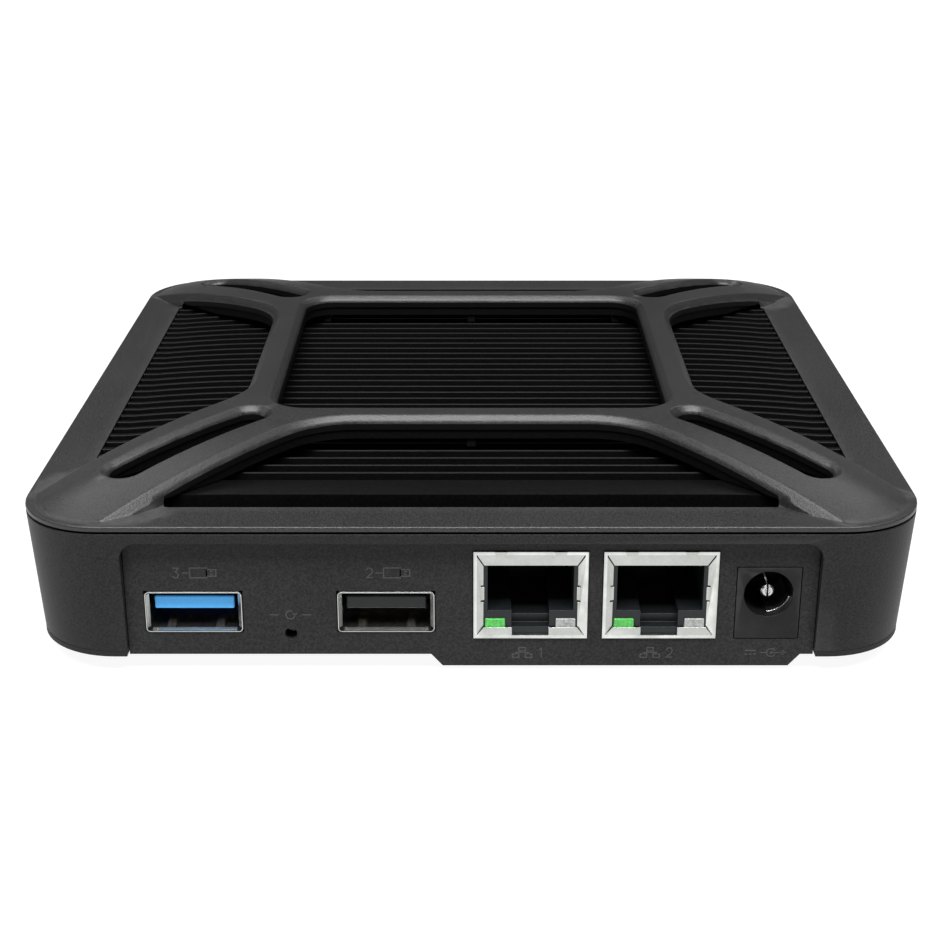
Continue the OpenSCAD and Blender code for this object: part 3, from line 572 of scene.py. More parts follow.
def write_mesh(
    name: str,
    points: Iterable[Sequence[float]],
    faces: Iterable[Sequence[int]],
    material: bpy.types.Material,
    smooth_below: float = 30.0,
) -> Piece:
    """Makes a mesh object from points in millimetres.

    Args:
        name: The object's name.
        points: The corners.
        faces: The faces as corner numbers.
        material: Its only material.
        smooth_below: Edges that turn by less than this many degrees are shaded smooth.

    Returns:
        The new object.
    """
    mesh = bpy.data.meshes.new(name)
    mesh.from_pydata([[value * MM for value in point] for point in points], [], [list(f) for f in faces])
    mesh.materials.append(material)
    finish_mesh(mesh, smooth_below)
    return link(bpy.data.objects.new(name, mesh))


def finish_mesh(mesh: bpy.types.Mesh, smooth_below: float = 30.0) -> None:
    """Merges doubles, points the faces outwards and shades what is round smooth.

    Args:
        mesh: The mesh to finish.
        smooth_below: Edges under this angle are smooth.
    """
    work = bmesh.new()
    work.from_mesh(mesh)
    bmesh.ops.remove_doubles(work, verts=work.verts, dist=0.0005 * MM)
    bmesh.ops.recalc_face_normals(work, faces=work.faces)
    work.to_mesh(mesh)
    work.free()
    mesh.polygons.foreach_set("use_smooth", [True] * len(mesh.polygons))
    mesh.set_sharp_from_angle(angle=math.radians(smooth_below))


def apply_modifiers(made: Piece) -> Piece:
    """Turns an object's modifiers into plain mesh.

    Args:
        made: The object.

    Returns:
        The same object.
    """
    graph = bpy.context.evaluated_depsgraph_get()
    mesh = bpy.data.meshes.new_from_object(made.evaluated_get(graph))
    made.modifiers.clear()
    made.data = mesh
    return made


def soften(made: Piece, width: float, segments: int = 2, angle: float = 32.0) -> Piece:
    """Rounds an object's edges.

    Args:
        made: The object.
        width: Width of the rounding in millimetres.
        segments: Number of faces across it.
        angle: Edges that turn by less than this many degrees stay.

    Returns:
        The same object with the rounding in its mesh.
    """
    bevel = made.modifiers.new("edges", "BEVEL")
    bevel.width = width * MM
    bevel.segments = segments
    bevel.limit_method = "ANGLE"
    bevel.angle_limit = math.radians(angle)
    bevel.harden_normals = True
    bevel.use_clamp_overlap = True
    return apply_modifiers(made)


def copy_node(node: str, name: str, material: bpy.types.Material) -> Piece:
    """Copies a CAD node's mesh and merges it into flat faces.

    Args:
        node: The CAD node.
        name: The copy's name.
        material: Its material.

    Returns:
        The new object, which rides on nothing yet.
    """
    mesh = bpy.data.objects[node].data.copy()
    mesh.name = name
    work = bmesh.new()
    work.from_mesh(mesh)
    bmesh.ops.remove_doubles(work, verts=work.verts, dist=0.001 * MM)
    bmesh.ops.dissolve_limit(
        work, angle_limit=math.radians(0.4), verts=work.verts, edges=work.edges, delimit={"NORMAL"}
    )
    work.to_mesh(mesh)
    work.free()
    mesh.materials.clear()
    mesh.materials.append(material)
    for attribute in [a for a in mesh.attributes if a.name.startswith("custom_normal")]:
        mesh.attributes.remove(attribute)
    mesh.polygons.foreach_set("use_smooth", [True] * len(mesh.polygons))
    mesh.set_sharp_from_angle(angle=math.radians(30.0))
    return link(bpy.data.objects.new(name, mesh))


def join(name: str, parts: Sequence[Piece]) -> Piece:
    """Joins meshes into one object.

    Args:
        name: The joined object's name.
        parts: The meshes, of which the first one gives the object.

    Returns:
        The joined object.
    """
    with bpy.context.temp_override(
        active_object=parts[0], selected_objects=list(parts), selected_editable_objects=list(parts)
    ):
        bpy.ops.object.join()
    parts[0].name = name
    parts[0].data.name = name
    return parts[0]


def box_faces(low: Point3, high: Point3) -> tuple[list[Point3], list[tuple[int, ...]]]:
    """Corners and faces of a box.

    Args:
        low: Its lowest corner.
        high: Its highest corner.

    Returns:
        The eight corners and the six faces.
    """
    points = [(x, y, z) for z in (low[2], high[2]) for y in (low[1], high[1]) for x in (low[0], high[0])]
    faces = [(0, 2, 3, 1), (4, 5, 7, 6), (0, 1, 5, 4), (2, 6, 7, 3), (0, 4, 6, 2), (1, 3, 7, 5)]
    return points, faces


def rounded_box(
    name: str,
    low: Point3,
    high: Point3,
    edge: float,
    material: bpy.types.Material,
    segments: int = 2,
) -> Piece:
    """A box with rounded edges, from its two corners in millimetres."""
    made = write_mesh(name, *box_faces(low, high), material)
    return soften(made, edge, segments)


def loft_rings(
    rings: Sequence[Sequence[Point3]], caps: bool = True
) -> tuple[list[Point3], list[tuple[int, ...]]]:
    """Joins closed rings of equal length.

    Args:
        rings: The rings in order.
        caps: Whether the first and last rings are closed.

    Returns:
        Points and faces.
    """
    count = len(rings[0])
    points = [point for ring in rings for point in ring]
    faces: list[tuple[int, ...]] = []
    for k in range(len(rings) - 1):
        for i in range(count):
            j = (i + 1) % count
            faces.append((k * count + i, k * count + j, (k + 1) * count + j, (k + 1) * count + i))
    if caps:
        faces.append(tuple(range(count))[::-1])
        faces.append(tuple(range((len(rings) - 1) * count, len(rings) * count)))
    return points, faces


def turned(
    name: str,
    axis_point: Point3,
    profile: Sequence[Point2],
    material: bpy.types.Material,
    along: str = "Y",
    steps: int = 40,
) -> Piece:
    """A turned piece.

    Args:
        name: The object's name.
        axis_point: Where the profile's zero is on the axis.
        profile: Distance along the axis and radius, from one end to the other.
        material: Its material.
        along: The axis, Y or Z.
        steps: Faces round it.

    Returns:
        The new object.
    """
    rings = []
    for reach, radius in profile:
        ring = []
        for i in range(steps):
            a = 2.0 * math.pi * i / steps
            u, v = max(radius, 1e-4) * math.cos(a), max(radius, 1e-4) * math.sin(a)
            offset = (u, reach, v) if along == "Y" else (u, v, reach)
            ring.append(tuple(axis_point[k] + offset[k] for k in range(3)))
        rings.append(ring)
    return write_mesh(name, *loft_rings(rings), material)


# ---------------- flat outlines


class RoundOutline:
    """A convex outline with a radius at each corner, drawn counter-clockwise."""

    def __init__(self, corners: Sequence[Point2], radii: Sequence[float], step: float = 1.2) -> None:
        """Works out the points and normals of the outline.

        Args:
            corners: The sharp corners.
            radii: The radius at each corner.
            step: Greatest distance between points on a straight stretch.
        """
        self.corners = [np.array(c, float) for c in corners]
        self.radii = list(radii)
        count = len(corners)
        edges = [self.corners[(i + 1) % count] - self.corners[i] for i in range(count)]
        self.edge_normals = [np.array((e[1], -e[0])) / np.linalg.norm(e) for e in edges]
        points: list[np.ndarray] = []
        normals: list[np.ndarray] = []
        self.centres: list[np.ndarray] = []
        for i in range(count):
            before, after = self.edge_normals[i - 1], self.edge_normals[i]
            turn = math.acos(float(np.clip(before @ after, -1.0, 1.0)))
            inward = -(before + after) / np.linalg.norm(before + after)
            centre = self.corners[i] + inward * self.radii[i] / math.cos(turn / 2.0)
            self.centres.append(centre)
            steps = max(2, math.ceil(turn / math.radians(7.5)))
            start = math.atan2(before[1], before[0])
            for k in range(steps + 1):
                a = start + turn * k / steps
                normal = np.array((math.cos(a), math.sin(a)))
                points.append(centre + self.radii[i] * normal)
                normals.append(normal)
            end = points[-1]
            following = self.corners[(i + 1) % count]
            half_turn = math.acos(float(np.clip(after @ self.edge_normals[(i + 1) % count], -1.0, 1.0))) / 2.0
            direction = edges[i] / np.linalg.norm(edges[i])
            goal = following - direction * self.radii[(i + 1) % count] * math.tan(half_turn)
            pieces = max(1, math.ceil(np.linalg.norm(goal - end) / step))
            for k in range(1, pieces):
                points.append(end + (goal - end) * k / pieces)
                normals.append(after)
        self.points = np.array(points)
        self.normals = np.array(normals)

    def loop(self, offset: float = 0.0) -> np.ndarray:
        """The outline moved outwards by an offset."""
        return self.points + offset * self.normals

    def distance(self, points: np.ndarray) -> np.ndarray:
        """Signed distance from the outline, positive outside.

        Args:
            points: Places as an array of X and Y.

        Returns:
            One distance for each place.
        """
        count = len(self.corners)
        flat = np.max(
            [(points - self.corners[i]) @ self.edge_normals[i] for i in range(count)], axis=0
        )
        for i in range(count):
            before, after = self.edge_normals[i - 1], self.edge_normals[i]
            away = points - self.centres[i]
            cross_before = before[0] * away[:, 1] - before[1] * away[:, 0]
            cross_after = away[:, 0] * after[1] - away[:, 1] * after[0]
            inside = (cross_before >= 0.0) & (cross_after >= 0.0) & (away @ (before + after) > 0.0)
            flat = np.where(inside, np.linalg.norm(away, axis=1) - self.radii[i], flat)
        return flat


def mirrored(corners: Sequence[Point2], quarter: int) -> list[Point2]:
    """Corners turned by a number of quarter turns about the middle.

    Args:
        corners: The corners.
        quarter: The number of quarter turns.

    Returns:
        The turned corners.
    """
    made = [tuple(c) for c in corners]
    for _ in range(quarter):
        made = [(-y, x) for x, y in made]
    return made


# ---------------- top cover


@dataclass
class TopCover:
    """The cover: a flat flange and a raised frame whose arms run down into the corners."""

    palette: Palette
    rim_t: float = 0.7
    rim_round: float = 0.28
    corner_r: float = 12.0
    flange_w: float = 7.0
    frame_h: float = 5.9
    bar_w: float = 5.15
    bar_offset: float = 32.4
    bar_depth: float = 3.5
    arm_w: float = 17.2
    window_r: float = 5.0
    bend_r: float = 14.0
    slot_w: float = 4.6
    slot_start: float = 44.5
    slot_end: float = 71.5
    dome_edge: float = 1.25
    chamfer: float = 1.13
    crease: float = 0.12
    side_draft: float = 6.0
    step_drop: float = 0.9
    step_set: float = 0.22
    lip_set: float = 2.2
    lip_h: float = 1.8
    small_r: float = 0.6
    fin_clear: float = 0.85
    clear_reach: float = 99.0
    rest_w: float = 1.4
    rest_at: tuple[float, ...] = (-26.5, 0.0, 26.5)
    half: float = field(init=False)
    z_rim: float = field(init=False)

    def __post_init__(self) -> None:
        """Reads the cover's place from the frame and lays out its outlines."""
        low, high = node_box("top_cover")
        self.half = (high.x - low.x) / 2.0
        self.z_rim = high.z - self.frame_h
        h = self.half
        self.rim = RoundOutline([(h, -h), (h, h), (-h, h), (-h, -h)], [self.corner_r] * 4)
        w = self.bar_offset - self.bar_w / 2.0
        self.window = RoundOutline([(w, -w), (w, w), (-w, w), (-w, -w)], [self.window_r] * 4)
        inner = self.bar_offset + self.bar_w / 2.0
        outer = self.half - self.flange_w
        near = self.bar_offset + (self.bar_w - self.arm_w * math.sqrt(2.0)) / 2.0
        self.flange_edge = outer
        far = self.half + 3.0 * self.corner_r
        self.sides, self.wedges = [], []
        for quarter in range(4):
            for limit, radius, group in ((outer, self.small_r, self.sides), (far, 0.5, self.wedges)):
                reach = near + limit - inner
                corners = [(-reach, -limit), (reach, -limit), (near, -inner), (-near, -inner)]
                radii = [radius, radius, self.bend_r, self.bend_r]
                group.append(RoundOutline(mirrored(corners, quarter), radii))
        self.slots = []
        s = self.slot_w / 2.0
        for quarter in range(4):
            stadium = [(self.slot_start, -s), (self.slot_end, -s), (self.slot_end, s), (self.slot_start, s)]
            turned_by_45 = [((x - y) / math.sqrt(2.0), (x + y) / math.sqrt(2.0)) for x, y in stadium]
            self.slots.append(RoundOutline(mirrored(turned_by_45, quarter), [s * 0.999] * 4))

    def dome(self, points: np.ndarray) -> np.ndarray:
        """Height of the frame's domed top above the rim, below zero outside the dome.

        Args:
            points: Places in plan.

        Returns:
            The heights.
        """
        run = self.half - self.dome_edge - self.bar_offset
        radius = (run * run + self.frame_h**2) / (2.0 * self.frame_h)
        out = np.clip(np.abs(points) - self.bar_offset, 0.0, run + self.dome_edge)
        drops = radius - np.sqrt(radius**2 - out**2)
        drop = np.sum(drops**4, axis=1) ** 0.25
        rim_out = np.clip(self.rim.distance(points) + self.half - self.bar_offset, 0.0, run + self.dome_edge)
        rim_drop = radius - np.sqrt(radius**2 - rim_out**2)
        return self.frame_h - np.maximum(drop, rim_drop)

    def edge_drop(self, distance: np.ndarray) -> np.ndarray:
        """How far a chamfered edge lies below the dome, at a distance from the opening's wall.

        Args:
            distance: Distances from the wall.

        Returns:
            The drops.
        """
        u = self.chamfer - distance
        rounded = 0.5 * (u + np.sqrt(u * u + self.crease**2))
        return np.where(distance >= 0.0, rounded, self.chamfer - self.side_draft * distance)

    def opening_distance(self, points: np.ndarray) -> np.ndarray:
        """Distance from the nearest window, slot or wedge between two arms."""
        return np.min([o.distance(points) for o in [self.window, *self.slots, *self.wedges]], axis=0)

    def height(self, points: np.ndarray) -> np.ndarray:
        """Height of the cover's top face above the rim."""
        return np.maximum(self.dome(points) - self.edge_drop(self.opening_distance(points)), 0.0)

    def underside(self, points: np.ndarray) -> np.ndarray:
        """Level of the cover's underside.

        Args:
            points: Places in plan.

        Returns:
            The levels.
        """
        wedge = np.min([o.distance(points) for o in self.wedges], axis=0)
        arched = self.dome(points) - self.bar_depth - self.side_draft * np.maximum(-wedge, 0.0)
        inside = np.max(np.abs(points), axis=1) < self.flange_edge
        central = np.sum(np.abs(points), axis=1) < self.clear_reach
        clear = (inside & central) * (self.fin_clear + self.lip_h + self.rim_t)
        lowest = -(self.lip_h + self.rim_t) + clear
        return self.z_rim + np.minimum(np.maximum(arched, lowest), self.height(points) - 0.6)

    def normal(self, points: np.ndarray) -> np.ndarray:
        """Unit normals of the top face.

        Args:
            points: Places in plan.

        Returns:
            The normals.
        """
        delta = 0.015
        across = self.height(points + (delta, 0.0)) - self.height(points - (delta, 0.0))
        along = self.height(points + (0.0, delta)) - self.height(points - (0.0, delta))
        made = np.stack([-across / (2 * delta), -along / (2 * delta), np.ones(len(points))], axis=1)
        return made / np.linalg.norm(made, axis=1)[:, None]

    def triangulate(self, closed: Sequence[np.ndarray], opened: Sequence[np.ndarray], spacing: float,
                    clear: float) -> tuple[np.ndarray, list[tuple[int, int, int]]]:
        """Fills the cover's outline with triangles that follow the given lines.

        Args:
            closed: Closed lines that the triangles follow.
            opened: Open lines that they follow.
            spacing: Distance between the free points inside.
            clear: How far the free points stay from openings.

        Returns:
            The points, and the triangles as point numbers.
        """
        points: list[tuple[float, float]] = []
        edges: list[tuple[int, int]] = []
        for lines, shut in ((closed, True), (opened, False)):
            for line in lines:
                start = len(points)
                points.extend((float(x), float(y)) for x, y in line)
                edges.extend((start + i, start + i + 1) for i in range(len(line) - 1))
                if shut:
                    edges.append((start + len(line) - 1, start))
        count = int(self.half / spacing)
        ticks = [i * spacing for i in range(-count, count + 1)]
        grid = np.array([
            (x + (0.5 * spacing if row % 2 else 0.0), y) for row, y in enumerate(ticks) for x in ticks
        ])
        holes = [self.window, *self.slots, *self.wedges]
        away = np.min([np.abs(o.distance(grid)) for o in holes], axis=0)
        in_hole = np.min([o.distance(grid) for o in [self.window, *self.slots, *self.sides]], axis=0)
        keep = (away > clear) & (self.rim.distance(grid) < -1.2) & (in_hole > 0.3)
        points.extend((float(x), float(y)) for x, y in grid[keep])
        result = delaunay_2d_cdt([Vector(p) for p in points], edges, [], 0, 1e-5)
        made = np.array([tuple(v) for v in result[0]])
        faces = np.array([tuple(f) for f in result[2]])
        middles = made[faces].mean(axis=1)
        solid = (self.rim.distance(middles) < 0.0) & (
            np.min([o.distance(middles) for o in [self.window, *self.slots, *self.sides]], axis=0) > 0.0
        )
        return made, [tuple(f) for f in faces[solid]]

    def wedge_lines(self, offsets: Sequence[float]) -> list[np.ndarray]:
        """The wedges' edges at some offsets, cut at the rim and at the side openings.

        Args:
            offsets: The offsets.

        Returns:
            The lines.
        """
        lines = []
        for wedge in self.wedges:
            for offset in offsets:
                loop = wedge.loop(offset)
                keep = self.rim.distance(loop) < -0.35
                if offset <= 0.0:
                    keep &= np.min([o.distance(loop) for o in self.sides], axis=0) > 0.02
                lines.extend(split_runs(loop, keep))
        return lines

    def foot_lines(self) -> list[np.ndarray]:
        """The lines in the corners where the dome runs out into the flat rim.

        Returns:
            The lines.
        """
        lines = []
        for quarter in range(4):
            line = []
            for angle in np.radians(np.linspace(-12.0, 102.0, 72)):
                direction = np.array((math.cos(angle), math.sin(angle)))
                near, far = 20.0, 60.0
                centre = np.array((30.0, 30.0))
                for _ in range(40):
                    middle = (near + far) / 2.0
                    place = centre + middle * direction
                    level = self.dome(place[None])[0] if np.max(np.abs(place)) < self.half - 0.1 else -1.0
                    near, far = (middle, far) if level > 0.0 else (near, middle)
                line.append(centre + near * direction)
            loop = np.array(mirrored([tuple(p) for p in line], quarter))
            for inset in (0.0, 0.5):
                shifted = loop * (1.0 - inset / self.half)
                keep = np.min([o.distance(shifted) for o in self.wedges], axis=0) > 0.25
                lines.extend(split_runs(shifted, keep))
        return lines

    def crease_lines(self) -> list[np.ndarray]:
        """The lines where the arms' chamfered edges and walls run out into the flat rim.

        Returns:
            The lines.
        """
        lines = []
        for wedge in self.wedges:
            base = wedge.loop()
            low = np.full(len(base), -1.4)
            high = np.full(len(base), 1.8)
            for _ in range(30):
                middle = (low + high) / 2.0
                place = base + wedge.normals * middle[:, None]
                above = self.dome(place) > self.edge_drop(middle)
                high = np.where(above, middle, high)
                low = np.where(above, low, middle)
            for aside in (-0.14, 0.0, 0.14):
                line = base + wedge.normals * (high + aside)[:, None]
                keep = (self.rim.distance(line) < -0.35) & (self.dome(line) > 0.03) & (high < 1.7)
                keep &= (high > -1.3) & (np.min([o.distance(line) for o in self.sides], axis=0) > 0.05)
                lines.extend(split_runs(line, keep))
        return lines

    def build(self) -> Piece:
        """Builds the cover's shell with its rests, and dresses it.

        Returns:
            The cover.
        """
        shell = Shell()
        holes = [self.window, *self.slots, *self.sides]
        offsets = (0.55, 0.85, 1.0, 1.13, 1.26, 1.45, 1.75)
        closed = [self.rim.loop(-self.rim_round), self.rim.loop(-0.7)]
        closed += [hole.loop() for hole in holes]
        closed += [o.loop(d) for o in [self.window, *self.slots] for d in offsets]
        opened = self.wedge_lines((-0.3, -0.15, 0.0, *offsets)) + self.foot_lines() + self.crease_lines()
        points, faces = self.triangulate(closed, opened, 1.5, 2.3)
        level = self.z_rim + self.height(points)
        normals = self.normal(points)
        top = np.column_stack([points, level])
        for a, b, c in faces:
            corners = (a, b, c) if _area(points[a], points[b], points[c]) > 0.0 else (a, c, b)
            shell.face([top[i] for i in corners], [normals[i] for i in corners])
        for hole in holes:
            self._wall(shell, hole)
        self._rim(shell)
        self._underside(shell, holes)
        # the second and third layers are darker copies of the cover plastic for the openings' walls: painted
        # shade
        layers = [self.palette.get(paint) for paint in (Paint.COVER, Paint.COVER_WALL, Paint.COVER_INSIDE)]
        cover = shell.write("top_cover_shell", layers)
        return join("top_cover_shell", [cover, *self._rests()])

    def _wall(self, shell: Shell, hole: RoundOutline) -> None:
        """Adds the wall of one opening, with its small step, in painted shade: a darker copy of the cover
        plastic above the step, a near-black one on the ledge and below it.

        Args:
            shell: The shell to add to.
            hole: The opening.
        """
        inside = hole.loop()
        behind = hole.loop(self.step_set)
        top = self.z_rim + self.height(inside + 1e-4 * hole.normals)
        foot = self.underside(behind)
        ledge = np.maximum(top - self.step_drop, foot)
        sideways = np.column_stack([-hole.normals, np.zeros(len(inside))])
        downwards = np.tile((0.0, 0.0, -1.0), (len(inside), 1))
        rings = [
            np.column_stack([inside, top]),
            np.column_stack([inside, ledge]),
            np.column_stack([behind, ledge]),
            np.column_stack([behind, foot]),
        ]
        for k, normals in enumerate((sideways, downwards, sideways)):
            # upper wall in the darker wall paint, ledge and lower wall in the near-black paint: painted shade
            shell.layer = 1 if k == 0 else 2
            shell.strip(rings[k + 1], rings[k], normals, normals)
        shell.layer = 0

    def _rim(self, shell: Shell) -> None:
        """Adds the rounded outer edge, the side face and the lip.

        Args:
            shell: The shell to add to.
        """
        outline = self.rim
        z_low = self.z_rim - self.rim_t
        z_lip = z_low - self.lip_h
        steps = 4
        profile = []
        for k in range(steps + 1):
            a = math.pi / 2.0 * (1.0 - k / steps)
            reach = -self.rim_round * (1.0 - math.cos(a))
            level = self.z_rim - self.rim_round * (1.0 - math.sin(a))
            profile.append((reach, level, math.cos(a), math.sin(a)))
        profile.append((0.0, z_low, 1.0, 0.0))
        flat = [(0.0, z_low, 0.0, -1.0), (-self.lip_set, z_low, 0.0, -1.0)]
        lip = [(-self.lip_set, z_low, 1.0, 0.0), (-self.lip_set, z_lip, 1.0, 0.0)]
        for stretch in (profile, flat, lip):
            rings, normals = [], []
            for reach, z, out, up in stretch:
                rings.append(np.column_stack([outline.loop(reach), np.full(len(outline.points), z)]))
                normals.append(np.column_stack([outline.normals * out, np.full(len(outline.points), up)]))
            for k in range(len(stretch) - 1):
                shell.strip(rings[k], rings[k + 1], normals[k], normals[k + 1])

    def _underside(self, shell: Shell, holes: Sequence[RoundOutline]) -> None:
        """Closes the shell from below.

        Args:
            shell: The shell to close.
            holes: Its openings.
        """
        closed = [self.rim.loop(-self.lip_set)] + [hole.loop(self.step_set) for hole in holes]
        points, faces = self.triangulate(closed, [], 3.0, 1.5)
        inside = self.rim.distance(points) < -self.lip_set + 0.01
        level = self.underside(points)
        under = np.column_stack([points, level])
        middles = points[np.array(faces)].mean(axis=1)
        keep = (self.rim.distance(middles) < -self.lip_set) & (
            np.min([o.distance(middles) for o in holes], axis=0) > self.step_set
        )
        rim_level = self.z_rim - self.rim_t - self.lip_h
        on_rim = self.rim.distance(points) > -self.lip_set - 0.01
        under[on_rim, 2] = rim_level
        for (a, b, c), wanted in zip(faces, keep):
            if wanted and inside[a] and inside[b] and inside[c]:
                corners = (a, c, b) if _area(points[a], points[b], points[c]) > 0.0 else (a, b, c)
                p, q, r = (under[i] for i in corners)
                n = np.cross(q - p, r - p)
                n = n / max(np.linalg.norm(n), 1e-9)
                shell.face([p, q, r], [n, n, n])

    def _rests(self) -> list[Piece]:
        """The small rests under the frame's bars, in the darker wall paint as painted shade.

        Returns:
            The rests.
        """
        made = []
        length = self.bar_w - 1.0
        z_low = self.z_rim + self.fin_clear
        z_high = self.z_rim + self.frame_h - self.bar_depth + 0.3
        for side in (-1.0, 1.0):
            for x in self.rest_at:
                y = side * self.bar_offset
                low = (x - self.rest_w / 2.0, y - length / 2.0, z_low)
                high = (x + self.rest_w / 2.0, y + length / 2.0, z_high)
                # the rests take the darker wall paint: painted shade under the bars
                made.append(rounded_box("rest", low, high, 0.15, self.palette.get(Paint.COVER_WALL)))
        return made


def split_runs(line: np.ndarray, keep: np.ndarray) -> list[np.ndarray]:
    """The stretches of a closed line whose points are kept, each of two points or more.

    Args:
        line: The closed line.
        keep: Whether each point is kept.

    Returns:
        The stretches.
    """
    count = len(line)
    if keep.all():
        return [np.vstack([line, line[:1]])]
    start = int(np.argmin(keep))
    runs: list[np.ndarray] = []
    current: list[np.ndarray] = []
    for k in range(1, count + 1):
        i = (start + k) % count
        if keep[i]:
            current.append(line[i])
        else:
            if len(current) > 1:
                runs.append(np.array(current))
            current = []
    return runs


def _area(a: np.ndarray, b: np.ndarray, c: np.ndarray) -> float:
    """Twice the signed area of a triangle."""
    return float((b[0] - a[0]) * (c[1] - a[1]) - (b[1] - a[1]) * (c[0] - a[0]))


# ---------------- heat sink


@dataclass
class HeatSink:
    """The black finned casting that shows through the cover's openings."""

    palette: Palette
    fin_pitch: float = 2.98
    first_fin: float = -44.2
    fin_count: int = 31
    tip_t: float = 0.5
    root_t: float = 1.9
    fin_depth: float = 3.2
    plate_t: float = 1.4
    end_drop: float = 0.85
    drop_run: float = 20.0
    end_flat: float = 2.2
    ledge: float = 2.9
    ledge_drop: float = 2.9
    ledge_lean: float = 0.35
    land: float = 5.3
    tip_round: float = 0.1
    end_reach: float = 0.22
    corner_cut: float = 12.0
    half: float = field(init=False)
    deep: float = field(init=False)
    z_tip: float = field(init=False)

    def __post_init__(self) -> None:
        """Reads the sink's place from the frame."""
        _, high = node_box("heat_sink")
        self.half = high.x + self.end_reach
        self.deep = high.y
        self.z_tip = high.z

    def tip_drop(self, x: float) -> float:
        """How far the fin tips lie below their highest level at a place along X.

        Args:
            x: The place.

        Returns:
            The drop.
        """
        radius = (self.drop_run**2 + self.end_drop**2) / (2.0 * self.end_drop)
        out = min(max(abs(x) - (self.half - self.end_flat - self.drop_run), 0.0), self.drop_run)
        return radius - math.sqrt(radius**2 - out**2)

    def reach(self, y: float) -> float:
        """Half length of a fin at a place along Y, where the corners are cut off."""
        return min(self.half, 2.0 * self.half - self.corner_cut - abs(y))

    def stations(self, reach: float) -> list[float]:
        """Places along X where a fin's section is drawn.

        Args:
            reach: The fin's half length.

        Returns:
            The places.
        """
        level = self.half - self.end_flat - self.drop_run
        bend = [level + self.drop_run * k / 12.0 for k in range(13)]
        side = [x for x in bend if x < reach - 0.2] + [reach]
        return [-x for x in reversed(side)] + side

    def fin(self) -> Piece:
        """One fin, drawn at the middle of the sink, for the ribs' node tree to repeat.

        Returns:
            The fin.
        """
        rings = []
        for x in self.stations(self.half):
            drop = self.tip_drop(x)
            tip = self.tip_t / 2.0 + (self.root_t - self.tip_t) / 2.0 * drop / self.fin_depth
            z = self.z_tip - drop
            foot = self.z_tip - self.fin_depth - 0.05
            rings.append([
                (x, -self.root_t / 2.0, foot), (x, -tip, z - self.tip_round), (x, -tip + self.tip_round, z),
                (x, tip - self.tip_round, z), (x, tip, z - self.tip_round), (x, self.root_t / 2.0, foot),
            ])
        return write_mesh("fin", *loft_rings(rings), self.palette.get(Paint.SINK), 25.0)

    def ribs(self) -> Piece:
        """The row of fins, repeated by geometry nodes.

        Returns:
            The fins as one mesh.
        """
        fin = self.fin()
        tree = NodeRow("fin_row", "Fin")
        holder = link(bpy.data.objects.new("heat_sink_fins", bpy.data.meshes.new("heat_sink_fins")))
        start = (0.0, self.first_fin, 0.0)
        step = (0.0, self.fin_pitch, 0.0)
        tree.fill(holder, fin, self.fin_count, start, step, self.palette.get(Paint.SINK))
        bpy.data.objects.remove(fin)
        return holder

    def blocks(self) -> list[Piece]:
        """The plate under the fins and the plain lands at the front and the back.

        Returns:
            The plate and the lands.
        """
        paint = self.palette.get(Paint.SINK)
        foot = self.z_tip - self.fin_depth
        made = [rounded_box(
            "plate", (-self.half, -self.deep, foot - self.plate_t), (self.half, self.deep, foot), 0.1, paint
        )]
        for side in (-1.0, 1.0):
            rings = []
            back = self.deep - self.ledge - self.land
            front = self.deep - self.ledge
            low = self.z_tip - self.ledge_drop
            for x in self.stations(self.reach(back) - 1.0):
                z = self.z_tip - self.tip_drop(x)
                section = [
                    (back - 0.6, foot), (back, z - 0.12), (back + 0.12, z), (front - 0.22, z),
                    (front, z - 0.1), (front + self.ledge_lean, low), (self.deep, low), (self.deep, foot),
                ]
                rings.append([(x, side * y, level) for y, level in section])
            made.append(write_mesh("land", *loft_rings(rings), paint, 25.0))
        return made

    def build(self) -> Piece:
        """Builds the whole sink as one mesh."""
        return join("heat_sink_casting", [*self.blocks(), self.ribs()])


